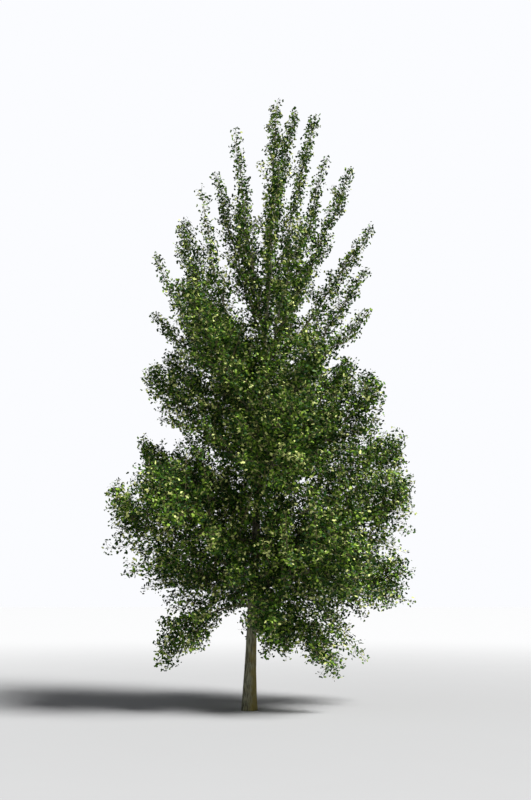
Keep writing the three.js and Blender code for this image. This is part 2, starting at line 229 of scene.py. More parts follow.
def report(piece: bpy.types.Object) -> None:
    """Logs a piece's name and how many triangles it has."""
    triangles = len(piece.data.loops) - 2 * len(piece.data.polygons)
    log.info("%s: %d triangles", piece.name, triangles)


# Finishes

# A Mix node has sockets for every kind of value. These are the numbers of its colour sockets.
SHARE, UNDER, OVER = 0, 6, 7
MIXED = 2


def linear(colour: str) -> tuple[float, float, float, float]:
    """Turns an sRGB colour into linear light.

    Args:
        colour: A hex value such as #808080.

    Returns:
        Its linear red, green and blue, and full opacity.
    """
    shares = [int(colour[i : i + 2], 16) / 255 for i in (1, 3, 5)]
    # This is the standard sRGB curve.
    red, green, blue = [s / 12.92 if s <= 0.04045 else ((s + 0.055) / 1.055) ** 2.4 for s in shares]
    return (red, green, blue, 1.0)


def add_node(
    tree: bpy.types.NodeTree,
    kind: str,
    inputs: Mapping[str | int, object] | None = None,
    **settings: object,
) -> bpy.types.Node:
    """Adds one node with its settings and links.

    Args:
        tree: The node tree of a material or of the world.
        kind: The node's type, without the word ShaderNode.
        inputs: For each input, a value to set, or another node's output to link.
        settings: The node's own settings.

    Returns:
        The new node.
    """
    node = tree.nodes.new(f"ShaderNode{kind}")
    for key, value in settings.items():
        setattr(node, key, value)
    for key, value in (inputs or {}).items():
        if isinstance(value, bpy.types.NodeSocket):
            tree.links.new(value, node.inputs[key])
        else:
            node.inputs[key].default_value = value
    return node


def new_material(name: str) -> bpy.types.Material:
    """Starts a material.

    Args:
        name: The material's name.

    Returns:
        The material, with an empty node tree.
    """
    material = bpy.data.materials.new(name)
    material.use_nodes = True
    material.node_tree.nodes.clear()
    return material


def per_metre(spacing_mm: float) -> float:
    """Returns the scale of a pattern whose features lie spacing_mm apart."""
    return 1000 / spacing_mm


@dataclass(frozen=True)
class FurrowedBark:
    """Young ginkgo bark, grown and weathered: grey-olive ridges, darker furrows and moss, with the moss
    colour also laid on the side towards +X as painted warm light.
    """

    name: str = "ginkgo_bark_furrowed"
    ridge: str = "#85846c"
    furrow: str = "#3b3a2c"
    moss_and_warm_light: str = "#7a6e2e"
    furrow_mm: float = 15.0
    # Furrows are drawn out this many times along the stem, and open between these noise values.
    furrow_run: float = 9.0
    furrow_edges: tuple[float, float] = (0.36, 0.6)
    grain_mm: float = 4.0
    grain_share: float = 0.35
    grain_height: float = 0.3
    # Moss grows in patches, and more down by the ground. The moss colour is also laid more on the side
    # towards +X, as painted warm light on the lit side.
    patch_mm: float = 160.0
    moss_and_warm_light_side: float = 0.3
    moss_low: float = 0.34
    moss_heights: tuple[float, float] = (0.2, 2.4)
    moss_and_warm_light_edges: tuple[float, float] = (0.62, 1.15)
    moss_and_warm_light_most: float = 0.8
    roughness: float = 0.88
    ior: float = 1.45
    relief: float = 0.0025
    relief_strength: float = 0.9

    def material(self) -> bpy.types.Material:
        """Builds the bark: long furrows, fine grain, moss in patches that thin out upwards, and painted warm
        light in the moss colour on the side towards +X.

        Returns:
            The material.
        """
        made = new_material(self.name)
        tree = made.node_tree
        place = add_node(tree, "TexCoord").outputs["Object"]
        drawn = add_node(tree, "Mapping", {"Vector": place, "Scale": (1, 1, 1 / self.furrow_run)})
        furrows = add_node(tree, "TexNoise", {
            "Vector": drawn.outputs["Vector"], "Scale": per_metre(self.furrow_mm),
            "Detail": 4.0, "Roughness": 0.6,
        })
        grain = add_node(tree, "TexNoise", {
            "Vector": place, "Scale": per_metre(self.grain_mm), "Detail": 3.0, "Roughness": 0.7,
        })
        patches = add_node(tree, "TexNoise", {
            "Vector": place, "Scale": per_metre(self.patch_mm), "Detail": 3.0,
        })
        closed, opened = self.furrow_edges
        depth = add_node(tree, "MapRange", {
            "Value": furrows.outputs["Fac"], "From Min": closed, "From Max": opened,
        }, interpolation_type="SMOOTHSTEP")
        bare = add_node(tree, "Mix", {
            SHARE: depth.outputs[0], UNDER: linear(self.furrow), OVER: linear(self.ridge),
        }, data_type="RGBA")
        speckled = add_node(tree, "Mix", {
            SHARE: self.grain_share, UNDER: bare.outputs[MIXED], OVER: grain.outputs["Color"],
        }, data_type="RGBA", blend_type="SOFT_LIGHT")
        split = add_node(tree, "SeparateXYZ", {"Vector": place})
        normal = add_node(tree, "NewGeometry").outputs["Normal"]
        facing = add_node(tree, "SeparateXYZ", {"Vector": normal})
        full, none = self.moss_heights
        low = add_node(tree, "MapRange", {
            "Value": split.outputs["Z"], "From Min": full, "From Max": none,
            "To Min": self.moss_low, "To Max": 0.0,
        })
        # The side towards +X takes more of the moss colour. This is painted warm light, and the moss by the
        # ground is added to it.
        lit_side_and_low_moss = add_node(tree, "Math", {
            0: facing.outputs["X"], 1: self.moss_and_warm_light_side, 2: low.outputs[0],
        }, operation="MULTIPLY_ADD")
        moss_and_warm_light_level = add_node(tree, "Math", {0: lit_side_and_low_moss.outputs[0], 1: patches.outputs["Fac"]}, operation="ADD")
        rim, middle = self.moss_and_warm_light_edges
        moss_and_warm_light_share = add_node(tree, "MapRange", {
            "Value": moss_and_warm_light_level.outputs[0], "From Min": rim, "From Max": middle, "To Max": self.moss_and_warm_light_most,
        }, interpolation_type="SMOOTHSTEP")
        coloured = add_node(tree, "Mix", {
            SHARE: moss_and_warm_light_share.outputs[0], UNDER: speckled.outputs[MIXED], OVER: linear(self.moss_and_warm_light),
        }, data_type="RGBA")
        height = add_node(tree, "Math", {
            0: grain.outputs["Fac"], 1: self.grain_height, 2: furrows.outputs["Fac"],
        }, operation="MULTIPLY_ADD")
        bump = add_node(tree, "Bump", {
            "Height": height.outputs[0], "Strength": self.relief_strength, "Distance": self.relief,
        })
        shader = add_node(tree, "BsdfPrincipled", {
            "Base Color": coloured.outputs[MIXED], "Roughness": self.roughness, "IOR": self.ior,
            "Normal": bump.outputs["Normal"],
        })
        add_node(tree, "OutputMaterial", {"Surface": shader.outputs["BSDF"]})
        return made


@dataclass(frozen=True)
class TwigBark:
    """Smooth ginkgo twig bark, one to three years old: tan-grey, paler and darker by lengths, with pores."""

    name: str = "ginkgo_twig_bark_smooth"
    young: str = "#8a7a5a"
    old: str = "#5d5645"
    pore_mm: float = 6.0
    length_mm: float = 90.0
    # The two noises together turn the old colour to the young one between these values.
    young_edges: tuple[float, float] = (0.8, 1.2)
    roughness: float = 0.7
    ior: float = 1.45
    relief: float = 0.0008
    relief_strength: float = 0.6

    def material(self) -> bpy.types.Material:
        """Builds the twig bark: lengths of younger and older colour, speckled with pores.

        Returns:
            The material.
        """
        made = new_material(self.name)
        tree = made.node_tree
        place = add_node(tree, "TexCoord").outputs["Object"]
        lengths = add_node(tree, "TexNoise", {"Vector": place, "Scale": per_metre(self.length_mm)})
        pores = add_node(tree, "TexNoise", {
            "Vector": place, "Scale": per_metre(self.pore_mm), "Detail": 3.0,
        })
        both = add_node(tree, "Math", {
            0: lengths.outputs["Fac"], 1: pores.outputs["Fac"],
        }, operation="ADD")
        low, high = self.young_edges
        share = add_node(tree, "MapRange", {"Value": both.outputs[0], "From Min": low, "From Max": high})
        colour = add_node(tree, "Mix", {
            SHARE: share.outputs[0], UNDER: linear(self.old), OVER: linear(self.young),
        }, data_type="RGBA")
        bump = add_node(tree, "Bump", {
            "Height": pores.outputs["Fac"], "Strength": self.relief_strength, "Distance": self.relief,
        })
        shader = add_node(tree, "BsdfPrincipled", {
            "Base Color": colour.outputs[MIXED], "Roughness": self.roughness, "IOR": self.ior,
            "Normal": bump.outputs["Normal"],
        })
        add_node(tree, "OutputMaterial", {"Surface": shader.outputs["BSDF"]})
        return made


class LeafTint(Enum):
    """The summer tints of the leaves, dealt out at random. The two darkest are painted shade, the fresh
    green is partly painted sunlight, and the palest is painted glints. Each has its colour and its share of
    the leaves.
    """

    # The two darkest tints are painted shade: very dark leaves that stand in for leaves in shadow.
    DEEP = ("#152b0b", 0.20)
    COOL = ("#21421c", 0.15)
    MIDDLE = ("#365817", 0.22)
    OLIVE = ("#557720", 0.18)
    # The fresh tint is a yellow-green that also stands in for sunlit leaves, so it is partly painted light.
    # The palest tint is painted glints: pale specks dealt out at random that stand in for leaves catching
    # the light.
    FRESH = ("#8dab3e", 0.14)
    PALE = ("#dbe28c", 0.11)

    @property
    def colour(self) -> str:
        """The tint's colour in full light."""
        return self.value[0]

    @property
    def share(self) -> float:
        """The tint's share of all leaves."""
        return self.value[1]


@dataclass(frozen=True)
class WaxyLeaf:
    """A leaf's waxy skin over fine fanned veins: it gives small soft glints and a dull green body."""

    tint: LeafTint
    # The tint is darkened in soft mottles, most where their noise is low.
    shade: str = "#22380f"
    shade_most: float = 0.5
    mottle_mm: float = 70.0
    mottle_edges: tuple[float, float] = (0.35, 0.65)
    # The real veins are 1 mm apart. These are drawn further apart, so that they show from near by.
    vein_mm: float = 6.0
    vein_share: float = 0.16
    rim_mm: float = 90.0
    roughness: float = 0.42
    ior: float = 1.42
    gloss: float = 0.16
    relief: float = 0.0006
    relief_strength: float = 0.35

    def material(self) -> bpy.types.Material:
        """Builds the leaf's skin: its tint, mottled a little darker, with veins that fan out from its foot.

        Returns:
            The material.
        """
        made = new_material(f"ginkgo_leaf_waxy_{self.tint.name.lower()}")
        tree = made.node_tree
        places = add_node(tree, "TexCoord").outputs
        mottle = add_node(tree, "TexNoise", {
            "Vector": places["Object"], "Scale": per_metre(self.mottle_mm), "Detail": 1.0,
        })
        # A wave's bands are a twentieth of a full circle wide at scale 1.
        bands = self.rim_mm / self.vein_mm * 2 * math.pi / 20
        veins = add_node(tree, "TexWave", {
            "Vector": places["UV"], "Scale": bands,
        }, wave_type="BANDS", bands_direction="X")
        shaded, clear = self.mottle_edges
        dark = add_node(tree, "MapRange", {
            "Value": mottle.outputs["Fac"], "From Min": shaded, "From Max": clear,
            "To Min": self.shade_most, "To Max": 0.0,
        })
        body = add_node(tree, "Mix", {
            SHARE: dark.outputs[0], UNDER: linear(self.tint.colour), OVER: linear(self.shade),
        }, data_type="RGBA")
        veined = add_node(tree, "Mix", {
            SHARE: self.vein_share, UNDER: body.outputs[MIXED], OVER: veins.outputs["Color"],
        }, data_type="RGBA", blend_type="SOFT_LIGHT")
        bump = add_node(tree, "Bump", {
            "Height": veins.outputs["Fac"], "Strength": self.relief_strength, "Distance": self.relief,
        })
        shader = add_node(tree, "BsdfPrincipled", {
            "Base Color": veined.outputs[MIXED], "Roughness": self.roughness, "IOR": self.ior,
            "Specular IOR Level": self.gloss, "Normal": bump.outputs["Normal"],
        })
        add_node(tree, "OutputMaterial", {"Surface": shader.outputs["BSDF"]})
        return made


@dataclass(frozen=True)
class PaintedFloor:
    """A studio floor of matt pale paint, rolled on: a very faint cloudiness, and no shine."""

    name: str = "studio_floor_matt_paint"
    near: str = "#a0a0a0"
    far: str = "#bbbbbb"
    cloud_mm: float = 900.0
    # The paint turns from near to far between these distances, and the clouds shift that by a little.
    fade_from: float = 3.0
    fade_to: float = 30.0
    cloud_shift: float = 2.0
    roughness: float = 0.9
    ior: float = 1.45

    def material(self) -> bpy.types.Material:
        """Builds the paint, which grows paler far from the tree so that the floor runs into the backdrop.

        Returns:
            The material.
        """
        made = new_material(self.name)
        tree = made.node_tree
        place = add_node(tree, "TexCoord").outputs["Object"]
        cloud = add_node(tree, "TexNoise", {"Vector": place, "Scale": per_metre(self.cloud_mm)})
        away = add_node(tree, "VectorMath", {0: place}, operation="LENGTH")
        clouded = add_node(tree, "Math", {
            0: cloud.outputs["Fac"], 1: self.cloud_shift, 2: away.outputs["Value"],
        }, operation="MULTIPLY_ADD")
        fade = add_node(tree, "MapRange", {
            "Value": clouded.outputs[0], "From Min": self.fade_from, "From Max": self.fade_to,
        }, interpolation_type="SMOOTHSTEP")
        colour = add_node(tree, "Mix", {
            SHARE: fade.outputs[0], UNDER: linear(self.near), OVER: linear(self.far),
        }, data_type="RGBA")
        shader = add_node(tree, "BsdfPrincipled", {
            "Base Color": colour.outputs[MIXED], "Roughness": self.roughness, "IOR": self.ior,
        })
        add_node(tree, "OutputMaterial", {"Surface": shader.outputs["BSDF"]})
        return made


# The trunk


@dataclass(frozen=True)
class Trunk:
    """The single trunk, which leans a little to the right and runs up to the foot of the leader."""

    # These are the sizes of the solid trunk.
    top: float = 9.2
    tree_top: float = 10.4
    lean: float = 0.46
    lean_power: float = 1.15
    width: float = 0.158
    taper: float = 1.1
    tip: float = 0.004
    flare: float = 0.09
    flare_height: float = 0.55
    lobes: int = 5
    lobe_depth: float = 0.009
    lobe_height: float = 0.24
    # The mesh has close rings up to the foliage, where the bark shows, and fewer above.
    sides: int = 112
    bare_height: float = 1.95
    bare_rings: int = 200
    crown_rings: int = 60
    # The furrows' size on the wall. As many go round the trunk as fit at the height counted_at.
    furrow_depth: float = 0.0034
    furrow_width: float = 0.017
    furrow_length: float = 0.12
    counted_at: float = 1.0
    # They wander sideways by this share of a turn, in waves of this length.
    wander: float = 0.02
    wander_length: float = 0.3
    wander_cells: int = 6
    # Finer furrows lie over them, twice as many, by shares of their length and depth.
    fine_length: float = 0.4
    fine_depth: float = 0.35
    ridge_power: float = 0.8
    ridge_middle: float = 0.55
    # Their depth is in full where the trunk has this radius, and goes with it within these shares.
    full_radius: float = 0.09
    depth_range: tuple[float, float] = (0.15, 1.2)
    # The swelling round a limb's foot, as shares of its radius, and its half width in radians.
    collar_depth: float = 0.4
    collar_rise: float = 2.6
    collar_turn: float = 0.55
    seed: int = 11

    def axis(self, height: Array | float) -> Array:
        """Gives the middle of the trunk.

        Args:
            height: The heights where it is wanted.

        Returns:
            A point at each height.
        """
        height = np.asarray(height, float)
        lean = self.lean * (np.maximum(height, 0) / self.tree_top) ** self.lean_power
        return np.stack([lean, np.zeros_like(lean), height], axis=-1)

    def wall(self, height: Array | float, angle: Array | float = 0.0) -> Array:
        """Gives the trunk's plain radius, with the lobes over its roots.

        Args:
            height: The heights where it is wanted.
            angle: The bearings round the trunk, in radians.

        Returns:
            The radius at each place.
        """
        height = np.asarray(height, float)
        taper = np.maximum(1 - height / self.tree_top, 0) ** self.taper
        flare = np.exp(-height / self.flare_height)
        lobe = self.lobe_depth * np.cos(self.lobes * np.asarray(angle)) * np.exp(-height / self.lobe_height)
        return (self.width * taper + self.flare * flare) / 2 + self.tip + lobe

    def relief(self, height: Array, turn: Array) -> Array:
        """Gives the depth of the bark's furrows.

        Args:
            height: The height of each place on the wall.
            turn: Its place round the trunk, from 0 to 1.

        Returns:
            How far the bark stands in or out there.
        """
        chance = np.random.default_rng(self.seed)
        around = int(2 * math.pi * self.wall(self.counted_at) / self.furrow_width)
        wander = self.wander * wall_noise(chance, turn, height / self.wander_length, self.wander_cells)
        turn = (turn + wander) % 1.0
        coarse = wall_noise(chance, turn, height / self.furrow_length, around)
        fine = wall_noise(chance, turn, height / (self.furrow_length * self.fine_length), around * 2)
        ridges = 1 - np.abs(2 * coarse - 1) ** self.ridge_power
        depth = self.furrow_depth * (ridges - self.ridge_middle + self.fine_depth * (fine - 0.5))
        return depth * np.clip(self.wall(height) / self.full_radius, *self.depth_range)

    def collars(self, height: Array, angle: Array, boughs: Sequence["Bough"]) -> Array:
        """Gives the swelling where each limb leaves the trunk.

        Args:
            height: The height of each place on the wall.
            angle: Its bearing from the trunk's middle, in radians.
            boughs: The boughs that leave the trunk.

        Returns:
            How far the wall stands out there.
        """
        swelling = np.zeros_like(height * angle)
        for bough in boughs:
            bearing = math.atan2(bough.end[1] - bough.start[1], bough.end[0] - bough.start[0])
            wide = bough.wall(0.0)
            above = (height - bough.start[2]) / (self.collar_rise * wide)
            apart = np.abs((angle - bearing + math.pi) % (2 * math.pi) - math.pi) / self.collar_turn
            swelling += self.collar_depth * wide * np.exp(-(above**2) - apart**2)
        return swelling

    def build(self, boughs: Sequence["Bough"], bark: bpy.types.Material) -> bpy.types.Object:
        """Makes the trunk's mesh, with its flare, furrows and collars, and hides its solid.

        Args:
            boughs: The boughs that leave the trunk.
            bark: The finish of the trunk.

        Returns:
            The trunk's piece.
        """
        low = np.linspace(0, self.bare_height, self.bare_rings, endpoint=False)
        heights = np.concatenate([low, np.linspace(self.bare_height, self.top, self.crown_rings)])
        turn = np.linspace(0, 1, self.sides, endpoint=False)
        height, round_it = np.meshgrid(heights, turn, indexing="ij")
        # A tube's sides turn from its side direction, here +X, so the angle is the bearing.
        angle = round_it * 2 * math.pi
        radius = self.wall(height, angle) + self.relief(height, round_it)
        radius = radius + self.collars(height, angle, boughs)
        points, faces = tube_mesh(self.axis(heights)[None], radius[None], np.array([[1.0, 0.0, 0.0]]))
        # The first ring lies flat on the ground, closed by a cap.
        points[: self.sides, 2] = 0
        base = np.arange(self.sides)
        cap = np.stack([np.roll(base, -1), base, np.full(self.sides, len(points))], axis=-1)
        points = np.vstack([points, np.zeros(3)])
        piece = mesh_object("trunk_bark", points, [faces, cap], bark)
        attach(piece, "root")
        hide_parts("trunk")
        return piece


TRUNK = Trunk()


# The boughs


@dataclass(frozen=True)
class MassRule:
    """How one kind of foliage mass spreads about its stem, in metres, shares and degrees."""

    # These are the sizes of the solids' own twigs.
    spread: float
    per_reach: float
    headroom: float
    twig_pitch: float
    slope: float
    lift: float
    # These are the finer twigs between them, and the leafy shoots on both.
    fine_slope: float
    fine_pitch: float
    fine_spread: float
    fine_per_reach: float
    fine_length: tuple[float, float]
    fine_base: float
    fine_taper: float
    shoot_pitch: float
    shoot_length: tuple[float, float]
    # The shoots on the stem itself are longer by this.
    stem_stretch: float
    # How much of a neighbour's space the twigs and the shoots keep out of: none at 0, and all at 1.
    twig_border: float
    border: float


class Habit(Enum):
    """The kinds of foliage mass: broad at the end of a low limb, or a narrow column from the trunk up."""

    BROAD = MassRule(
        spread=0.12,
        per_reach=0.31,
        headroom=0.6,
        twig_pitch=0.335,
        slope=52,
        lift=0.22,
        fine_slope=52,
        fine_pitch=0.058,
        fine_spread=0.12,
        fine_per_reach=0.31,
        fine_length=(0.55, 1.2),
        fine_base=1.35,
        fine_taper=1.3,
        shoot_pitch=0.078,
        shoot_length=(0.14, 0.34),
        stem_stretch=1.7,
        twig_border=0.45,
        border=0.2,
    )
    COLUMN = MassRule(
        spread=0.12,
        per_reach=0.27,
        headroom=0.0,
        twig_pitch=0.56,
        slope=40,
        lift=0.3,
        fine_slope=35,
        fine_pitch=0.115,
        fine_spread=0.36,
        fine_per_reach=0.03,
        fine_length=(0.5, 1.05),
        fine_base=1.3,
        fine_taper=1.3,
        shoot_pitch=0.06,
        shoot_length=(0.06, 0.16),
        stem_stretch=1.25,
        twig_border=0.75,
        border=0.75,
    )


@dataclass(frozen=True)
class Bough:
    """One bough: a bowed curve from the trunk's middle to its tip, and the mass of foliage on its stem."""

    index: int
    start: Array
    elbow: Array
    end: Array
    side: Array
    habit: Habit
    reach: float
    has_limb: bool = False
    fullness: float = 1.0
    is_leader: bool = False

    # The share of a low bough that is a bare limb.
    limb_share: float = 0.25
    # The foot's radius grows with the bough's length, up to a share of the trunk's.
    least: float = 0.004
    per_length: float = 0.0075
    trunk_share: float = 0.42
    taper: float = 0.85
    tip_radius: float = 0.0022
    # The leader's leaves go on down the trunk for this many times its own length.
    trunk_end: float = -2.4
    length_steps: int = 200

    def point(self, t: Array | float) -> Array:
        """Returns the point at each share t of the bough's curve."""
        t = np.asarray(t, float)[..., None]
        return self.start * (1 - t) ** 2 + self.elbow * 2 * t * (1 - t) + self.end * t**2

    def tangent(self, t: Array | float) -> Array:
        """Returns the curve's direction at each share t."""
        t = np.asarray(t, float)[..., None]
        return unit((self.elbow - self.start) * (1 - t) + (self.end - self.elbow) * t)

    def wall(self, t: Array | float) -> Array:
        """Gives the bough's radius. The leader's goes on from the trunk's.

        Args:
            t: Shares of the curve.

        Returns:
            The radius at each share.
        """
        thin = (1 - np.asarray(t, float)) ** self.taper
        if self.is_leader:
            return (TRUNK.wall(TRUNK.top) - self.tip_radius) * thin + self.tip_radius
        most = self.trunk_share * float(TRUNK.wall(self.start[2]))
        return min(self.least + self.per_length * self.length, most) * thin + self.tip_radius

    @cached_property
    def length(self) -> float:
        """The length of the curve."""
        path = self.point(np.linspace(0, 1, self.length_steps + 1))
        return float(np.linalg.norm(np.diff(path, axis=0), axis=1).sum())

    @property
    def stem_from(self) -> float:
        """The share of the curve where the bare limb ends and the leafy stem begins."""
        return self.limb_share if self.has_limb else 0.0

    @property
    def leafy_from(self) -> float:
        """The share where the leaves begin. The leader's is far down the trunk, so it is below 0."""
        return self.trunk_end if self.is_leader else self.stem_from

    @property
    def stem_length(self) -> float:
        """The length of the leafy stem."""
        return self.length * (1 - self.stem_from)

    @property
    def rule(self) -> MassRule:
        """The sizes of its kind of mass."""
        return self.habit.value

    @property
    def spread(self) -> float:
        """How far the mass spreads from its stem."""
        return self.rule.spread + self.rule.per_reach * self.reach

    @property
    def top(self) -> float:
        """The height that the mass stays below."""
        return max(self.end[2], self.start[2]) + self.rule.headroom * self.spread

    @property
    def weeps(self) -> bool:
        """Whether the bough hangs down towards its tip."""
        return bool(self.end[2] < self.start[2])

    def stem_share(self, u: Array | float) -> Array:
        """Returns the share of the whole curve for each share u of the stem."""
        return self.stem_from + (1 - self.stem_from) * np.asarray(u, float)


class BoughSize(NamedTuple):
    """A bough leaves the trunk at the height foot, and its foliage ends at the height tip, reach away."""

    foot: float
    bearing: float
    reach: float
    tip: float
    bow: float | None = None
    # How much longer the finer twigs are near the foot of its stem.
    fullness: float = 1.0


class CrownSide(NamedTuple):
    """The front or the back: its bearing, how much higher its boughs start, and the step of their swing."""

    bearing: float
    raised: float
    turn: float


@dataclass(frozen=True)
class BoughPlan:
    """Where every bough grows."""

    right: tuple[BoughSize, ...] = (
        BoughSize(1.50, -24, 1.42, 0.64),
        BoughSize(1.64, 20, 2.66, 2.15),
        BoughSize(1.98, -24, 2.54, 3.28),
        BoughSize(2.56, 14, 2.54, 4.25),
        BoughSize(3.26, -22, 2.09, 4.98),
        BoughSize(3.80, 28, 1.88, 5.68),
        BoughSize(4.62, 6, 1.82, 6.50, fullness=1.8),
        BoughSize(4.44, -32, 1.95, 6.78, fullness=1.8),
        BoughSize(5.15, -2, 1.87, 7.96, fullness=1.4),
        BoughSize(5.56, 24, 1.78, 9.45, bow=0.13),
        BoughSize(6.00, -30, 1.19, 9.01, bow=0.5),
        BoughSize(6.10, 8, 0.90, 10.17),
        BoughSize(8.00, -20, 0.47, 10.12),
    )
    left: tuple[BoughSize, ...] = (
        BoughSize(1.57, 190, 1.43, 0.70),
        BoughSize(1.76, 154, 1.85, 2.25),
        BoughSize(2.08, 197, 2.32, 3.24, bow=0.17),
        BoughSize(2.90, 166, 1.98, 4.10),
        BoughSize(3.56, 203, 1.88, 5.22),
        BoughSize(3.98, 156, 1.75, 5.80),
        BoughSize(4.79, 175, 1.89, 6.44),
        BoughSize(4.60, 187, 1.79, 7.40, bow=0.48),
        BoughSize(4.30, 160, 1.50, 8.36, bow=0.79, fullness=1.7),
        BoughSize(4.92, 198, 1.08, 8.62, bow=1.5, fullness=2.6),
        BoughSize(5.80, 158, 0.95, 9.18, bow=0.4, fullness=2.0),
        BoughSize(5.95, 186, 0.52, 9.84, bow=1.5, fullness=2.2),
    )
    low: tuple[BoughSize, ...] = (BoughSize(1.43, 298, 1.13, 0.96), BoughSize(1.69, 78, 1.35, 0.88))
    # The boughs towards the front and the back follow the crown's own outline.
    sides: tuple[CrownSide, ...] = (CrownSide(270, 0.0, 2.2), CrownSide(90, 0.31, 3.9))
    per_side: int = 7
    lowest: float = 1.9
    step: float = 0.62
    # A bough rises by this share of how far its foot is above rise_from.
    rise: float = 0.62
    rise_from: float = 1.1
    # They swing to both sides of its bearing by up to this many degrees, and less the higher they are.
    fan: float = 56
    fan_loss: float = 4.5
    crown_reach: float = 2.21
    crown_widest: float = 2.6
    crown_half_height: float = 7.9
    # A bough rises in a slight bow below its chord, and one that weeps arches above it.
    elbow: float = 0.74
    bow_rising: float = 0.08
    bow_weeping: float = -0.46
    # The boughs below these heights have a bare limb, and a broad mass.
    highest_limb: float = 3.5
    highest_broad: float = 4.4
    leader_reach: float = 0.45

    def crown_reach_at(self, height: Array | float) -> Array:
        """Returns how far the crown reaches out at each height."""
        above = (np.asarray(height, float) - self.crown_widest) / self.crown_half_height
        return self.crown_reach * np.sqrt(np.maximum(1 - above * above, 0))

    def depth_sizes(self, side: CrownSide) -> list[BoughSize]:
        """Gives the boughs towards the front or the back.

        Args:
            side: Which of the two.

        Returns:
            The sizes of that side's boughs, from the lowest up.
        """
        sizes = []
        for i in range(self.per_side):
            foot = self.lowest + side.raised + i * self.step
            tip = foot + self.rise * (foot - self.rise_from)
            reach = float(self.crown_reach_at(tip))
            fan = self.fan - self.fan_loss * i
            bearing = side.bearing + fan * math.sin(side.turn * (i + 1))
            sizes.append(BoughSize(foot, bearing, reach, tip))
        return sizes

    def grow_bough(self, size: BoughSize, index: int) -> Bough:
        """Grows one bough from its sizes.

        Args:
            size: Where it starts and ends.
            index: Its number, which seeds its twigs.

        Returns:
            The bough.
        """
        start = TRUNK.axis(size.foot)
        turn = math.radians(size.bearing)
        out = np.array([math.cos(turn), math.sin(turn), 0.0])
        rise = size.tip - size.foot
        usual = self.bow_rising if rise > 0 else self.bow_weeping
        bow = usual if size.bow is None else size.bow
        elbow = start + out * size.reach * self.elbow + UP * (rise * self.elbow - bow * size.reach)
        end = start + out * size.reach + UP * rise
        has_limb = size.foot < self.highest_limb
        habit = Habit.BROAD if size.foot < self.highest_broad else Habit.COLUMN
        side = np.array([-out[1], out[0], 0.0])
        return Bough(index, start, elbow, end, side, habit, size.reach, has_limb, size.fullness)

    def grow(self) -> list[Bough]:
        """Grows every bough, and the leader that goes on from the trunk's tip.

        Returns:
            The boughs, in the solids' order.
        """
        sizes = [*self.right, *self.left, *self.low]
        for side in self.sides:
            sizes += self.depth_sizes(side)
        boughs = [self.grow_bough(size, i + 1) for i, size in enumerate(sizes)]
        start, end = TRUNK.axis(TRUNK.top), TRUNK.axis(TRUNK.tree_top)
        across = np.array([0.0, 1.0, 0.0])
        middle, index = (start + end) / 2, len(sizes) + 1
        leader = Bough(index, start, middle, end, across, Habit.COLUMN, self.leader_reach, is_leader=True)
        return [*boughs, leader]


@dataclass(frozen=True)
class Sway:
    """The slight bends of all wood, which bring it out of its plain curves by at most a few centimetres."""

    # The wood nearer to the trunk than this keeps still, and it sways in full this much further out.
    still: float = 0.12
    run_in: float = 0.7
    # For X, Y and Z, a wave along the crown's X, Y and Z, in radians per metre, and where it starts.
    slow: tuple[tuple[float, ...], ...] = (
        (0, 2.3, 5.1, 0.4),
        (3.1, 0, 4.3, 1.9),
        (4.7, 3.9, 0, 2.6),
    )
    slow_depth: float = 0.020
    quick: tuple[tuple[float, ...], ...] = (
        (0, -7.9, 15.7, 0.8),
        (13.9, 0, 9.1, 2.2),
        (-10.3, 14.8, 0, 1.1),
    )
    quick_depth: float = 0.006

    def waves(self, points: Array, rows: Sequence[Sequence[float]]) -> Array:
        """Returns the height of each row's wave at each point."""
        turns = [dot(points, np.array(row[:3])) + row[3] for row in rows]
        return np.sin(np.concatenate(turns, axis=-1))

    def bend(self, points: Array) -> Array:
        """Moves places in the crown, more the further they are from the trunk.

        Args:
            points: The places, in any array whose last side is X, Y and Z.

        Returns:
            The same places, moved.
        """
        away = np.linalg.norm((points - TRUNK.axis(points[..., 2]))[..., :2], axis=-1)
        amount = ease((away - self.still) / self.run_in)[..., None]
        slow, quick = self.waves(points, self.slow), self.waves(points, self.quick)
        return points + amount * (self.slow_depth * slow + self.quick_depth * quick)


SWAY = Sway()


@dataclass(frozen=True)
class Boughs:
    """The barked wood of all boughs, from the trunk to their tips."""

    sides: int = 12
    rings: int = 48
    crowding: float = 1.25
    # A bough's foot is swollen by this share, which fades along it.
    collar: float = 0.5
    collar_length: float = 0.055
    # The bark's knobs are in full on wood of this radius, and knob_most times that on thick wood.
    knob: float = 0.0016
    knob_length: float = 0.06
    knob_cells: int = 7
    knob_radius: float = 0.012
    knob_most: float = 1.4
    seed: int = 23

    def build(self, boughs: Sequence[Bough], bark: bpy.types.Material) -> bpy.types.Object:
        """Makes all boughs as one mesh, and hides the solid limbs.

        Args:
            boughs: The boughs to make.
            bark: The finish of the boughs.

        Returns:
            The boughs' piece.
        """
        chance = np.random.default_rng(self.seed)
        t = np.linspace(0, 1, self.rings) ** self.crowding
        turn = np.linspace(0, 1, self.sides, endpoint=False)
        paths, radii = [], []
        for bough in boughs:
            paths.append(SWAY.bend(bough.point(t)))
            along = t * bough.length
            out = np.maximum(along - float(TRUNK.wall(bough.start[2])), 0)
            swollen = 1 + (0 if bough.is_leader else self.collar) * np.exp(-out / self.collar_length)
            plain = (bough.wall(t) * swollen)[:, None]
            rise, round_it = np.meshgrid(along / self.knob_length, turn, indexing="ij")
            knobs = self.knob * (wall_noise(chance, round_it, rise, self.knob_cells) - 0.5)
            radii.append(plain + knobs * np.minimum(plain / self.knob_radius, self.knob_most))
        side = np.stack([bough.side for bough in boughs])
        points, faces = tube_mesh(np.stack(paths), np.stack(radii), side)
        piece = mesh_object("bough_bark", points, [faces], bark)
        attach(piece, "root")
        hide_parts(*[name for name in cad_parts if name.startswith("bough_")])
        return piece


# The twigs and shoots


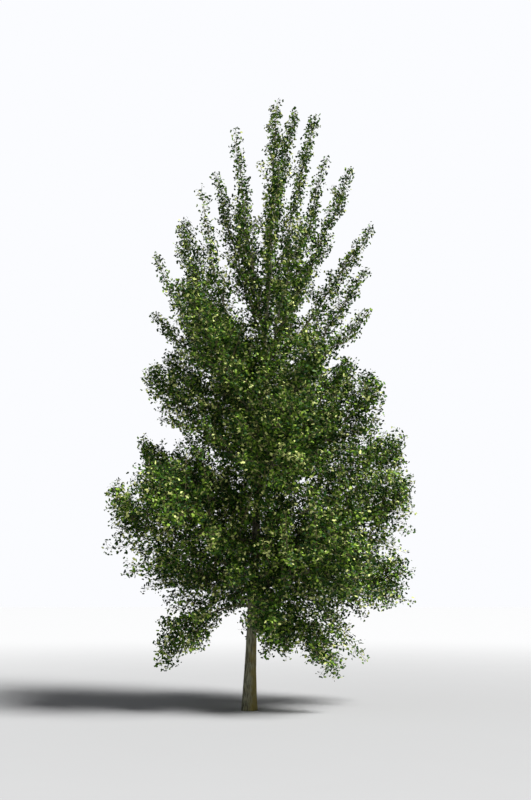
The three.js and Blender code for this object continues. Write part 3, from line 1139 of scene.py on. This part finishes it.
@dataclass
class Axes:
    """Curved axes, one row each. The point at a share s is root + first * s + second * s * s."""

    root: Array
    first: Array
    second: Array
    foot: Array
    tip: Array
    owner: Array

    def __len__(self) -> int:
        """Returns the number of axes."""
        return len(self.root)

    def point(self, row: Array, s: Array) -> Array:
        """Returns the point at the share s of each row's axis."""
        s = s[..., None]
        return self.root[row] + self.first[row] * s + self.second[row] * s * s

    def tangent(self, row: Array, s: Array) -> Array:
        """Returns the direction at the share s of each row's axis."""
        return unit(self.first[row] + self.second[row] * 2 * s[..., None])

    def wall(self, row: Array, s: Array) -> Array:
        """Returns the radius at the share s of each row's axis."""
        return self.foot[row] + (self.tip[row] - self.foot[row]) * s

    @property
    def ends(self) -> Array:
        """The far end of each axis."""
        return self.root + self.first + self.second

    @property
    def length(self) -> Array:
        """The length of each axis, near enough for its pitch."""
        return np.linalg.norm(self.first + self.second, axis=1)

    def keep(self, chosen: Array) -> "Axes":
        """Returns only the chosen axes."""
        return Axes(*(getattr(self, part.name)[chosen] for part in fields(Axes)))

    def scaled(self, share: Array | float) -> "Axes":
        """Returns the axes at a share of their length."""
        share = np.asarray(share, float)[..., None]
        return replace(self, first=self.first * share, second=self.second * share)

    @staticmethod
    def joined(groups: Sequence["Axes"]) -> "Axes":
        """Returns several groups of axes as one."""
        columns = ([getattr(group, part.name) for group in groups] for part in fields(Axes))
        return Axes(*(np.concatenate(column) for column in columns))

    def spaced(self, pitch: Array, start: float, end: float) -> tuple[Array, Array, Array]:
        """Spreads places evenly along every axis.

        Args:
            pitch: The spacing wanted on each axis.
            start: The share of an axis where its first place may be.
            end: The share where its last may be.

        Returns:
            For each place the row of its axis, its number on that axis and its share of the axis.
        """
        count = np.maximum(np.round(self.length * (end - start) / pitch), 1).astype(int)
        row, number = numbered(count)
        return row, number, start + (end - start) * (number + 0.5) / count[row]


class Wood(NamedTuple):
    """All axes that carry leaves: the boughs' stems, the twigs on them and on the trunk, and the shoots."""

    stems: Axes
    outer: Axes
    inner: Axes
    shoots: Axes


@dataclass(frozen=True)
class CrownSpace:
    """Shares the crown out among the masses, as the solids do: each place belongs to the nearest stem."""

    boughs: tuple[Bough, ...]
    overhang: float = 0.06
    lowest_leaf: float = 0.33
    path_steps: int = 8

    def of_bough(self, owner: Array, value: Callable[[Bough], object]) -> Array:
        """Returns a value of each owner's bough."""
        return np.array([value(bough) for bough in self.boughs])[owner]

    def nearness(self, points: Array, bough: Bough) -> Array:
        """Measures how near points are to a bough's stem.

        Args:
            points: The places to test.
            bough: The bough.

        Returns:
            The distance of each from the stem, as a share of the bough's spread.
        """
        path = bough.point(np.linspace(bough.leafy_from, 1, self.path_steps + 1))
        foot, step = path[:-1], np.diff(path, axis=0)
        along = dot(points[:, None] - foot, step) / dot(step, step)
        nearest = foot + step * np.clip(along, 0, 1)
        return np.linalg.norm(points[:, None] - nearest, axis=-1).min(axis=1) / bough.spread

    def within(self, points: Array, owner: Array) -> Array:
        """Tells which points lie within the reach and height of their own bough.

        Args:
            points: The places to test.
            owner: For each, the number of its bough in the list.

        Returns:
            True for each place that does.
        """
        start = self.of_bough(owner, lambda bough: bough.start)
        reach = self.of_bough(owner, lambda bough: bough.reach)
        top = self.of_bough(owner, lambda bough: bough.top)
        out = np.linalg.norm(points[:, :2] - start[:, :2], axis=1)
        high = (points[:, 2] > self.lowest_leaf) & (points[:, 2] < top + self.overhang)
        return high & (out < reach + self.overhang)

    def owned(self, points: Array, owner: Array, border: Array) -> Array:
        """Tells which points lie in their own mass's space.

        Args:
            points: The places to test.
            owner: For each, the number of its bough in the list.
            border: How much of a neighbour's space each keeps out of, from 0 for none to 1 for all.

        Returns:
            True for each place within its bough's reach and nearest to its stem.
        """
        near = np.stack([self.nearness(points, bough) for bough in self.boughs], axis=1)
        rows = np.arange(len(points))
        own = near[rows, owner].copy()
        near[rows, owner] = np.inf
        return self.within(points, owner) & (near.min(axis=1) > own * border)


@dataclass(frozen=True)
class Twigs:
    """The leafless wood between the boughs and the leaves: the solids' twigs, finer ones and shoots."""

    space: CrownSpace
    # The solids' own twigs stand between first and last on their stem and are shorter towards its tip.
    fewest: int = 3
    first: float = 0.06
    last: float = 0.8
    base: float = 1.16
    share: float = 0.5
    # How much each may differ in its place, turn, slope and length.
    stand: tuple[float, float] = (0.3, 0.7)
    loose: float = 0.3
    slopes: tuple[float, float] = (0.85, 1.15)
    lengths: tuple[float, float] = (0.9, 1.3)
    shortened: tuple[float, ...] = (1.0, 0.75, 0.5)
    # All twigs turn up by their end, or down where the bough weeps, and set out a little the other way.
    rising: float = 0.1
    weeping: float = -0.22
    bend_back: float = 0.4
    twig_tip: float = 0.0016
    # The finer twigs start at this share of a bough, or the next where it weeps, and end near its tip.
    fine_from: float = 0.09
    fine_from_weeping: float = 0.22
    fine_to: float = 0.97
    fine_fewest: int = 4
    fine_stand: tuple[float, float] = (0.1, 0.9)
    fine_turn: float = 1.1
    fine_loose: float = 0.4
    fine_slopes: tuple[float, float] = (0.8, 1.2)
    fine_lift: float = 0.3
    fine_foot: float = 0.002
    fine_foot_per_length: float = 0.008
    # Small branches fill the trunk's sides between the boughs.
    branchlet_from: float = 1.56
    branchlet_to: float = 5.6
    branchlet_pitch: float = 0.05
    branchlet_crowding: float = 1.5
    branchlet_reach: tuple[float, float] = (0.32, 0.7)
    branchlet_loss: float = 0.4
    branchlet_slope: tuple[float, float] = (66, 34)
    branchlet_foot: float = 0.0085
    branchlet_share: float = 0.35
    # Twiglets grow on them, and shoots on all twigs. Each carrier's spiral starts turned by carrier_turn.
    twiglet_pitch: float = 0.13
    twiglet_from: float = 0.15
    twiglet_length: tuple[float, float] = (0.22, 0.48)
    twiglet_base: float = 1.1
    twiglet_loss: float = 0.6
    twiglet_slope: tuple[float, float] = (38, 60)
    twiglet_lift: float = 0.15
    twiglet_foot: float = 0.0035
    twiglet_share: float = 0.8
    side_to: float = 0.97
    side_loose: float = 0.5
    carrier_turn: float = 2.1
    # The shares of a stem, of a twig and of a twig on the trunk where the shoots start.
    shoots_from: tuple[float, float, float] = (0.02, 0.12, 0.15)
    shoot_shift: float = 0.4
    shoot_last: float = 0.985
    shoot_base: float = 1.05
    shoot_loss: float = 0.65
    shoot_lengths: tuple[float, float] = (0.7, 1.25)
    shoot_slope: tuple[float, float] = (38, 62)
    shoot_lift: float = 0.8
    shoot_foot: float = 0.0026
    shoot_tip: float = 0.001
    # The leader's own shoots are longer by this.
    leader_stretch: float = 2.4
    twig_sides: int = 4
    twig_rings: int = 4
    shoot_sides: int = 3
    shoot_rings: int = 2
    # This keeps the side of an upright twig from having no direction.
    nudge: float = 1e-6
    seed: int = 41

    def stems(self) -> Axes:
        """Gives the leafy stems of all boughs. The leader's takes in the trunk's upper end.

        Returns:
            The stems' axes.
        """
        rows = []
        for owner, bough in enumerate(self.space.boughs):
            start = bough.leafy_from
            slope = 2 * ((bough.elbow - bough.start) * (1 - start) + (bough.end - bough.elbow) * start)
            curve = bough.start - 2 * bough.elbow + bough.end
            first, second = slope * (1 - start), curve * (1 - start) ** 2
            rows.append((bough.point(start), first, second, bough.wall(start), bough.wall(1.0), owner))
        return Axes(*(np.array(column) for column in zip(*rows)))

    def bent(self, root: Array, step: Array, owner: Array, foot: Array, tip: float) -> Axes:
        """Gives straight twigs their slight turn towards the light, or down where the bough weeps.

        Args:
            root: Where each twig starts.
            step: The way from its root to its plain tip.
            owner: The number of its bough.
            foot: Its radius at the root.
            tip: The radius at all tips.

        Returns:
            The twigs' axes.
        """
        weeps = self.space.of_bough(owner, lambda bough: bough.weeps)
        bend = np.where(weeps, self.weeping, self.rising)
        second = UP * bend[:, None] * np.linalg.norm(step, axis=1, keepdims=True)
        return Axes(root, step - second * self.bend_back, second, foot, np.full(len(root), tip), owner)

    def main_twigs(self) -> Axes:
        """Grows the twigs that the solids have, by the same rule and seeds.

        Returns:
            The twigs' axes.
        """
        rows = []
        for owner, bough in enumerate(self.space.boughs):
            rule, dice = bough.rule, Dice(bough.index)
            count = max(self.fewest, math.floor(bough.stem_length / rule.twig_pitch + 0.5))
            for i in range(count):
                u = self.first + (self.last - self.first) * (i + dice.within(*self.stand)) / count
                t = bough.stem_share(u)
                turn = np.array([i * GOLDEN_ANGLE + dice.within(-self.loose, self.loose)])
                slope = np.array([math.radians(rule.slope * dice.within(*self.slopes))])
                direction = branch_direction(bough.tangent(t)[None], turn, slope, rule.lift)[0]
                length = bough.spread * (self.base - u) * dice.within(*self.lengths)
                rows.append((bough.point(t), direction * length, owner, self.share * float(bough.wall(t))))
        root, step, owner, foot = (np.array(column) for column in zip(*rows))
        return self.bent(root, step, owner, foot, self.twig_tip)

    def fine_start(self, bough: Bough) -> float:
        """Gives where a bough's finer twigs start.

        Args:
            bough: The bough.

        Returns:
            The share of its leafy stem, which is below 0 on its bare wood.
        """
        start = self.fine_from_weeping if bough.weeps else self.fine_from
        if bough.is_leader:
            start = bough.leafy_from
        return (start - bough.stem_from) / (1 - bough.stem_from)

    def fine_twigs(self, chance: np.random.Generator) -> Axes:
        """Grows the finer twigs on the stems between the solids' twigs.

        Args:
            chance: The seeded source of their differences.

        Returns:
            The twigs' axes.
        """
        groups = []
        for owner, bough in enumerate(self.space.boughs):
            rule, start = bough.rule, self.fine_start(bough)
            run = self.fine_to - start
            count = max(self.fine_fewest, round(bough.stem_length * run / rule.fine_pitch))
            number = np.arange(count)
            u = start + run * (number + chance.uniform(*self.fine_stand, count)) / count
            t = bough.stem_share(u)
            turn = spiral(chance, number, self.fine_loose, self.fine_turn)
            slope = np.radians(rule.fine_slope * chance.uniform(*self.fine_slopes, count))
            direction = branch_direction(bough.tangent(t), turn, slope, rule.lift * self.fine_lift)
            spread = rule.fine_spread + rule.fine_per_reach * bough.reach
            length = spread * (rule.fine_base - np.maximum(u, 0)) ** rule.fine_taper
            length = length * chance.uniform(*rule.fine_length, count)
            length = length * (bough.fullness + (1 - bough.fullness) * u)
            foot = self.fine_foot + self.fine_foot_per_length * length
            foot = np.minimum(self.share * bough.wall(t), foot)
            step, owners = direction * length[:, None], np.full(count, owner)
            groups.append(self.bent(bough.point(t), step, owners, foot, self.twig_tip))
        return Axes.joined(groups)

    def branchlets(self, plan: BoughPlan, chance: np.random.Generator) -> Axes:
        """Grows the small branches that leave the trunk between the boughs.

        Args:
            plan: The plan of the boughs, which gives the crown's reach at each height.
            chance: The seeded source of their differences.

        Returns:
            The branchlets' axes.
        """
        count = round((self.branchlet_to - self.branchlet_from) / self.branchlet_pitch)
        number = np.arange(count)
        share = ((number + chance.uniform(*self.fine_stand, count)) / count) ** self.branchlet_crowding
        height = self.branchlet_from + (self.branchlet_to - self.branchlet_from) * share
        bearing = spiral(chance, number, self.loose)
        low, high = self.branchlet_slope
        slope = np.radians((low + (high - low) * share) * chance.uniform(*self.slopes, count))
        out = np.stack([np.cos(bearing), np.sin(bearing), np.zeros(count)], axis=1)
        direction = out * np.sin(slope)[:, None] + UP * np.cos(slope)[:, None]
        length = plan.crown_reach_at(height) * chance.uniform(*self.branchlet_reach, count)
        length = length * (1 - self.branchlet_loss * share)
        feet = np.array([bough.start[2] for bough in self.space.boughs])
        owner = np.abs(height[:, None] - feet).argmin(axis=1)
        foot = np.minimum(self.branchlet_foot, self.branchlet_share * TRUNK.wall(height))
        return self.bent(TRUNK.axis(height), direction * length[:, None], owner, foot, self.twig_tip)

    def twiglets(self, carriers: Axes, chance: np.random.Generator) -> Axes:
        """Grows the twigs along the branchlets, shorter towards their tips.

        Args:
            carriers: The branchlets.
            chance: The seeded source of their differences.

        Returns:
            The twiglets' axes.
        """
        pitch = np.full(len(carriers), self.twiglet_pitch)
        row, number, s = carriers.spaced(pitch, self.twiglet_from, self.side_to)
        turn = spiral(chance, number, self.side_loose) + self.carrier_turn * row
        slope = np.radians(chance.uniform(*self.twiglet_slope, len(row)))
        length = chance.uniform(*self.twiglet_length, len(row))
        length = length * (self.twiglet_base - self.twiglet_loss * s)
        direction = branch_direction(carriers.tangent(row, s), turn, slope, self.twiglet_lift)
        foot = np.minimum(self.twiglet_foot, self.twiglet_share * carriers.wall(row, s))
        step, owner = direction * length[:, None], carriers.owner[row]
        return self.bent(carriers.point(row, s), step, owner, foot, self.twig_tip)

    def trimmed(self, twigs: Axes) -> Axes:
        """Shortens the twigs that would leave their mass's space, and drops those that still would.

        Args:
            twigs: The twigs as they grow.

        Returns:
            The twigs that are left.
        """
        share = np.zeros(len(twigs))
        border = self.space.of_bough(twigs.owner, lambda bough: bough.rule.twig_border)
        for option in reversed(self.shortened):
            share[self.space.owned(twigs.scaled(option).ends, twigs.owner, border)] = option
        return twigs.scaled(share).keep(share > 0)

    def stretch(self, bough: Bough) -> float:
        """Returns how much longer the shoots on a bough's stem are than those on its twigs."""
        return self.leader_stretch if bough.is_leader else bough.rule.stem_stretch

    def shoots(
        self,
        carriers: Axes,
        start: float,
        chance: np.random.Generator,
        stretch: Array | float = 1.0,
        free: bool = False,
    ) -> Axes:
        """Grows short leafy shoots all along their carriers.

        Args:
            carriers: The stems or twigs that carry them.
            start: The share of a carrier where its first shoot is.
            chance: The seeded source of their differences.
            stretch: How much longer they are than the shoots on a twig, for all or for each carrier.
            free: Whether they may grow into any mass's space, as those near the trunk do.

        Returns:
            The shoots' axes.
        """
        space = self.space
        pitch = space.of_bough(carriers.owner, lambda bough: bough.rule.shoot_pitch)
        shortest, longest = space.of_bough(carriers.owner, lambda bough: bough.rule.shoot_length).T
        row, number, s = carriers.spaced(pitch, start, self.side_to)
        count = len(row)
        shift = chance.uniform(-self.shoot_shift, self.shoot_shift, count) * pitch[row]
        s = np.clip(s + shift / carriers.length[row], 0, self.shoot_last)
        turn = spiral(chance, number, self.side_loose) + self.carrier_turn * row
        slope = np.radians(chance.uniform(*self.shoot_slope, count))
        # The shoots grow shorter towards the tip, which leaves it pointed.
        length = (stretch * (shortest + (longest - shortest) * chance.random(len(carriers))))[row]
        length = length * (self.shoot_base - self.shoot_loss * s)
        length = length * chance.uniform(*self.shoot_lengths, count)
        lift = self.shoot_lift * float(np.mean([bough.rule.lift for bough in space.boughs]))
        direction = branch_direction(carriers.tangent(row, s), turn, slope, lift)
        step, owner = direction * length[:, None], carriers.owner[row]
        foot = np.full(count, self.shoot_foot)
        grown = self.bent(carriers.point(row, s), step, owner, foot, self.shoot_tip)
        if free:
            return grown
        border = space.of_bough(owner, lambda bough: bough.rule.border)
        return grown.keep(space.owned(grown.ends, owner, border))

    def grow(self, plan: BoughPlan) -> Wood:
        """Grows all twigs and shoots.

        Args:
            plan: The plan of the boughs.

        Returns:
            Their axes, and those of the boughs' stems.
        """
        chance = np.random.default_rng(self.seed)
        stems = self.stems()
        outer = self.trimmed(Axes.joined([self.main_twigs(), self.fine_twigs(chance)]))
        branchlets = self.branchlets(plan, chance)
        inner = Axes.joined([branchlets, self.twiglets(branchlets, chance)])
        on_stem, on_twig, on_inner = self.shoots_from
        stretch = self.space.of_bough(stems.owner, self.stretch)
        shoots = [
            self.shoots(stems, on_stem, chance, stretch=stretch),
            self.shoots(outer, on_twig, chance),
            self.shoots(inner, on_inner, chance, free=True),
        ]
        return Wood(stems, outer, inner, Axes.joined(shoots))

    def mesh(
        self, name: str, axes: Axes, sides: int, rings: int, bark: bpy.types.Material
    ) -> bpy.types.Object:
        """Makes one mesh of many twigs.

        Args:
            name: The piece's name.
            axes: The twigs' axes.
            sides: How many sides each has.
            rings: How many rings each has.
            bark: The finish of the twigs.

        Returns:
            The piece.
        """
        rows = np.arange(len(axes))[:, None]
        shares = np.broadcast_to(np.linspace(0, 1, rings), (len(axes), rings))
        radii = np.repeat(axes.wall(rows, shares)[..., None], sides, axis=2)
        side = unit(np.cross(axes.first, UP) + self.nudge)
        points, faces = tube_mesh(SWAY.bend(axes.point(rows, shares)), radii, side)
        piece = mesh_object(name, points, [faces], bark)
        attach(piece, "root")
        return piece

    def build(self, wood: Wood, bark: bpy.types.Material) -> list[bpy.types.Object]:
        """Makes the twigs and the shoots, each kind as one piece.

        Args:
            wood: What the method grow gives.
            bark: The finish of them all.

        Returns:
            The two pieces.
        """
        twigs = Axes.joined([wood.outer, wood.inner])
        log.info("%d twigs and %d shoots", len(twigs), len(wood.shoots))
        return [
            self.mesh("twigs", twigs, self.twig_sides, self.twig_rings, bark),
            self.mesh("shoots", wood.shoots, self.shoot_sides, self.shoot_rings, bark),
        ]


# The leaves


@dataclass(frozen=True)
class FanLeaf:
    """One ginkgo leaf: a slim stalk and a fan with two lobes and a notch between them."""

    blade: float = 0.041
    stalk: tuple[float, float] = (0.035, 0.085)
    stalk_width: float = 0.0010
    half_fan: float = 62
    # The rim's points from one side of the fan to the other: a share of the half fan, and of the blade.
    rim: tuple[tuple[float, float], ...] = (
        (-1.0, 0.86),
        (-0.42, 1.0),
        (0.0, 0.76),
        (0.42, 1.0),
        (1.0, 0.86),
    )

    @property
    def corners(self) -> int:
        """The number of corners of one leaf: two at the stalk's foot, the fan's foot and its rim."""
        return 3 + len(self.rim)

    @property
    def triangles(self) -> Array:
        """The leaf's triangles, as corner numbers."""
        fan = [(2, i, i + 1) for i in range(3, 2 + len(self.rim))]
        return np.array([(0, 1, 2), *fan])

    @property
    def places(self) -> Array:
        """Each corner's place on the blade: across the fan from 0 to 1, and from its foot to its rim."""
        rim = [(0.5 + share / 2, radius) for share, radius in self.rim]
        return np.array([(0.5, 0.0), (0.5, 0.0), (0.5, 0.05), *rim])

    def shape(
        self, foot: Array, stalk: Array, forward: Array, normal: Array, blade: Array, fold: Array
    ) -> Array:
        """Lays out many leaves at once.

        Args:
            foot: Where each stalk starts.
            stalk: The way along each stalk.
            forward: The direction of each blade.
            normal: The direction that each blade faces.
            blade: The length of each blade.
            fold: How far the blade's sides drop, as a share of its length.

        Returns:
            The corners, shaped (leaves, corners, 3).
        """
        across = np.cross(forward, normal)
        base = foot + stalk
        stalk_side = across * self.stalk_width
        points = [foot - stalk_side, foot + stalk_side, base]
        for share, radius in self.rim:
            angle = math.radians(share * self.half_fan)
            reach = forward * math.cos(angle) + across * math.sin(angle)
            drop = normal * (fold * abs(math.sin(angle)))[:, None]
            points.append(base + (reach * radius - drop) * blade[:, None])
        return np.stack(points, axis=1)


class Spurs(NamedTuple):
    """The short spurs that carry leaves: each one's place, direction, share of its axis, and axis."""

    place: Array
    out: Array
    share: Array
    row: Array


@dataclass(frozen=True)
class Foliage:
    """All leaves of the crown, in small whorls on spurs along the stems, twigs and shoots."""

    leaf: FanLeaf = FanLeaf()
    # The shares of a stem, of a twig, of a twig on the trunk and of a shoot where the leaves start.
    starts: tuple[float, ...] = (0.06, 0.15, 0.25, 0.12)
    spur_pitch: float = 0.046
    spur_shift: float = 0.45
    spur_loose: float = 0.6
    spur_turn: float = 1.7
    spur_slope: float = 68
    spur_lift: float = 0.15
    # A spur starts a little inside the bark, at this share of the radius.
    spur_foot: float = 0.8
    leaves: tuple[int, int] = (2, 4)
    # The youngest ends carry smaller leaves, one or two at a time, which leaves them pointed.
    sparse_from: float = 0.9
    sparse_most: int = 2
    youngest: float = 0.4
    youngest_from: float = 0.75
    stalk_loose: float = 0.7
    stalk_slope: tuple[float, float] = (22, 68)
    stalk_lift: float = 0.12
    stalk_scatter: float = 0.12
    # The blades hang from their stalks and turn their faces outwards and up.
    along_stalk: float = 0.8
    hang: float = 0.35
    hang_scatter: float = 0.25
    face_up: float = 0.55
    face_out: float = 0.55
    face_scatter: float = 0.5
    blade_sizes: tuple[float, float] = (0.78, 1.2)
    fold: tuple[float, float] = (-0.1, 0.38)
    # A spray keeps one tint on this share of its leaves, and the others take any.
    own_tint: float = 0.3
    margin: float = 0.07
    lowest: float = 0.25
    seed: int = 67

    def spurs(self, axes: Axes, start: float, chance: np.random.Generator) -> Spurs:
        """Places the spurs that carry the whorls of leaves.

        Args:
            axes: The stems, twigs or shoots that carry them.
            start: The share of an axis where its first spur is.
            chance: The seeded source of their differences.

        Returns:
            The spurs.
        """
        row, number, s = axes.spaced(np.full(len(axes), self.spur_pitch), start, 1.0)
        count = len(row)
        pitch = self.spur_pitch / np.maximum(axes.length[row], self.spur_pitch)
        s = np.clip(s + chance.uniform(-self.spur_shift, self.spur_shift, count) * pitch, start, 1.0)
        turn = spiral(chance, number, self.spur_loose) + self.spur_turn * row
        slope = np.full(count, math.radians(self.spur_slope))
        out = branch_direction(axes.tangent(row, s), turn, slope, self.spur_lift)
        place = SWAY.bend(axes.point(row, s)) + out * (axes.wall(row, s)[:, None] * self.spur_foot)
        return Spurs(place, out, s, row)

    def whorls(self, spurs: Spurs, tints: Array, chance: np.random.Generator) -> tuple[Array, Array]:
        """Grows the leaves of each spur.

        Args:
            spurs: The spurs that carry them.
            tints: The tint number of each spur.
            chance: The seeded source of their differences.

        Returns:
            The corners of all leaves, shaped (leaves, corners, 3), and each leaf's tint number.
        """
        fewest, most = self.leaves
        count = chance.integers(fewest, most + 1, len(spurs.place))
        count = np.where(spurs.share > self.sparse_from, np.minimum(count, self.sparse_most), count)
        row, number = numbered(count)
        total = len(row)
        youth = ease((spurs.share - self.youngest_from) / (1 - self.youngest_from))
        size = (1 - self.youngest * youth)[row]
        middle = spurs.out[row]
        loose = chance.uniform(-self.stalk_loose, self.stalk_loose, total)
        turn = number * 2 * math.pi / count[row] + loose
        slope = np.radians(chance.uniform(*self.stalk_slope, total))
        stalk = branch_direction(middle, turn, slope, self.stalk_lift)
        stalk = unit(stalk + chance.normal(0, self.stalk_scatter, (total, 3)))
        length = (chance.uniform(*self.leaf.stalk, total) * size)[:, None]
        forward = stalk * self.along_stalk - UP * self.hang
        forward = unit(forward + chance.normal(0, self.hang_scatter, (total, 3)))
        facing = UP * self.face_up + middle * self.face_out
        facing = facing + chance.normal(0, self.face_scatter, (total, 3))
        normal = unit(facing - forward * dot(facing, forward))
        blade = self.leaf.blade * chance.uniform(*self.blade_sizes, total) * size
        fold = chance.uniform(*self.fold, total)
        corners = self.leaf.shape(spurs.place[row], stalk * length, forward, normal, blade, fold)
        own = chance.random(total) < self.own_tint
        return corners, np.where(own, tints[row], self.dealt(total, chance))

    def dealt(self, count: int, chance: np.random.Generator) -> Array:
        """Deals out that many tint numbers by their shares."""
        shares = np.array([tint.share for tint in LeafTint])
        return chance.choice(len(shares), count, p=shares / shares.sum())

    def inside(self, corners: Array) -> Array:
        """Tells which leaves stay within the solids' own box and a small margin.

        Args:
            corners: The leaves' corners, shaped (leaves, corners, 3).

        Returns:
            True for each leaf that does.
        """
        low, high = (np.array(corner) for corner in SOLID_BOX)
        low, high = low - self.margin, high + self.margin
        low[2] = self.lowest
        return ((corners > low) & (corners < high)).all(axis=(1, 2))

    def build(self, wood: Wood) -> list[bpy.types.Object]:
        """Makes the leaves, one piece for each tint, and hides the solid masses.

        Args:
            wood: The axes that carry leaves.

        Returns:
            The leaves' pieces.
        """
        chance = np.random.default_rng(self.seed)
        grown = []
        for axes, start in zip(wood, self.starts):
            spurs = self.spurs(axes, start, chance)
            tints = self.dealt(len(axes), chance)[spurs.row]
            grown.append(self.whorls(spurs, tints, chance))
        leaves, tint = (np.concatenate(column) for column in zip(*grown))
        kept = self.inside(leaves)
        leaves, tint = leaves[kept], tint[kept]
        log.info("%d leaves", len(leaves))
        pieces = [self.piece(kind, leaves[tint == i]) for i, kind in enumerate(LeafTint)]
        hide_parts(*[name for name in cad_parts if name.startswith("foliage_")])
        return pieces

    def piece(self, tint: LeafTint, leaves: Array) -> bpy.types.Object:
        """Joins the leaves of one tint into a piece.

        Args:
            tint: Their tint.
            leaves: Their corners, shaped (leaves, corners, 3).

        Returns:
            The piece.
        """
        step = np.arange(len(leaves))[:, None, None] * self.leaf.corners
        faces = (self.leaf.triangles[None] + step).reshape(-1, 3)
        places = np.tile(self.leaf.places, (len(leaves), 1))
        name, finish = f"leaves_{tint.name.lower()}", WaxyLeaf(tint).material()
        piece = mesh_object(name, leaves.reshape(-1, 3), [faces], finish, places)
        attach(piece, "root")
        return piece


# The studio


@dataclass(frozen=True)
class SkyPanel:
    """A wide soft studio light so far off that it lights the floor and the whole crown evenly."""

    name: str
    towards: tuple[float, float, float]
    width_degrees: float
    strength: float
    colour: str

    def build(self) -> None:
        """Makes the light and turns it to the tree."""
        lamp = bpy.data.lights.new(self.name, "SUN")
        lamp.angle = math.radians(self.width_degrees)
        lamp.energy = self.strength
        lamp.color = linear(self.colour)[:3]
        holder = bpy.data.objects.new(self.name, lamp)
        holder.location = self.towards
        holder.rotation_mode = "QUATERNION"
        holder.rotation_quaternion = (-Vector(self.towards)).to_track_quat("-Z", "Y")
        bpy.context.scene.collection.objects.link(holder)


@dataclass(frozen=True)
class Studio:
    """The pale floor, the soft light and the camera."""

    # The floor is a disc of rings that grow with the distance.
    floor_radius: float = 400.0
    floor_sides: int = 96
    floor_rings: int = 8
    floor_growth: int = 3
    backdrop: str = "#fbfcff"
    backdrop_glow: float = 1.0
    room_light: float = 0.12
    panels: tuple[SkyPanel, ...] = (
        SkyPanel("key_panel", (9.5, -6.0, 14.0), 26.0, 7.4, "#ffffff"),
        SkyPanel("fill_panel", (-11.0, -8.0, 9.0), 80.0, 0.5, "#eef4ff"),
    )
    # The camera stands where the photograph was taken, with a 40 mm lens on a full frame.
    eye: tuple[float, float, float] = (0.254, -14.4, 1.6)
    pitch: float = 12.9
    lens: float = 40.0
    sensor: float = 36.0

    def build_floor(self) -> None:
        """Makes the floor."""
        shares = np.linspace(0, 1, self.floor_rings + 1)[1:] ** self.floor_growth
        angle = np.linspace(0, 2 * math.pi, self.floor_sides, endpoint=False)
        ring = np.stack([np.cos(angle), np.sin(angle), np.zeros_like(angle)], axis=1)
        points = np.vstack([np.zeros(3), *(ring * self.floor_radius * share for share in shares)])
        number = 1 + np.arange(self.floor_rings * self.floor_sides).reshape(self.floor_rings, -1)
        inner, outer = number[:-1], number[1:]
        quads = np.stack([inner, outer, np.roll(outer, -1, 1), np.roll(inner, -1, 1)], axis=-1)
        hub = np.stack([np.zeros(self.floor_sides, int), number[0], np.roll(number[0], -1)], axis=-1)
        finish = PaintedFloor().material()
        floor = mesh_object("studio_floor", points, [quads.reshape(-1, 4), hub], finish)

    def build_light(self) -> None:
        """Makes the even light of the backdrop, and the panels."""
        world = bpy.data.worlds.new("studio_backdrop")
        bpy.context.scene.world = world
        world.use_nodes = True
        tree = world.node_tree
        tree.nodes.clear()
        # The backdrop shows brighter than the light that it casts, as a lit wall far behind would.
        seen = add_node(tree, "LightPath").outputs["Is Camera Ray"]
        strength = add_node(tree, "MapRange", {
            "Value": seen, "To Min": self.room_light, "To Max": self.backdrop_glow,
        })
        glow = add_node(tree, "Background", {
            "Color": linear(self.backdrop), "Strength": strength.outputs[0],
        })
        add_node(tree, "OutputWorld", {"Surface": glow.outputs["Background"]})
        for panel in self.panels:
            panel.build()

    def build_camera(self) -> None:
        """Makes the camera at the photograph's place and angle."""
        lens = bpy.data.cameras.new("photo_camera")
        lens.lens, lens.sensor_width = self.lens, self.sensor
        lens.clip_end = 2 * self.floor_radius
        camera = bpy.data.objects.new("photo_camera", lens)
        camera.location = self.eye
        camera.rotation_euler = (math.radians(90 + self.pitch), 0, 0)
        bpy.context.scene.collection.objects.link(camera)
        bpy.context.scene.camera = camera
        bpy.context.scene.view_settings.view_transform = "Standard"

    def build(self) -> None:
        """Makes the floor, the light and the camera."""
        self.build_floor()
        self.build_light()
        self.build_camera()


def main() -> None:
    """Builds the tree from the trunk outwards, and then the studio."""
    logging.basicConfig(level=logging.INFO, format="%(name)s: %(message)s")
    plan = BoughPlan()
    boughs = plan.grow()
    bark, twig_bark = FurrowedBark().material(), TwigBark().material()
    report(TRUNK.build(boughs, bark))
    report(Boughs().build(boughs, bark))

    twigs = Twigs(CrownSpace(tuple(boughs)))
    wood = twigs.grow(plan)
    for piece in (*twigs.build(wood, twig_bark), *Foliage().build(wood)):
        report(piece)

    Studio().build()


if __name__ == "__main__":
    main()
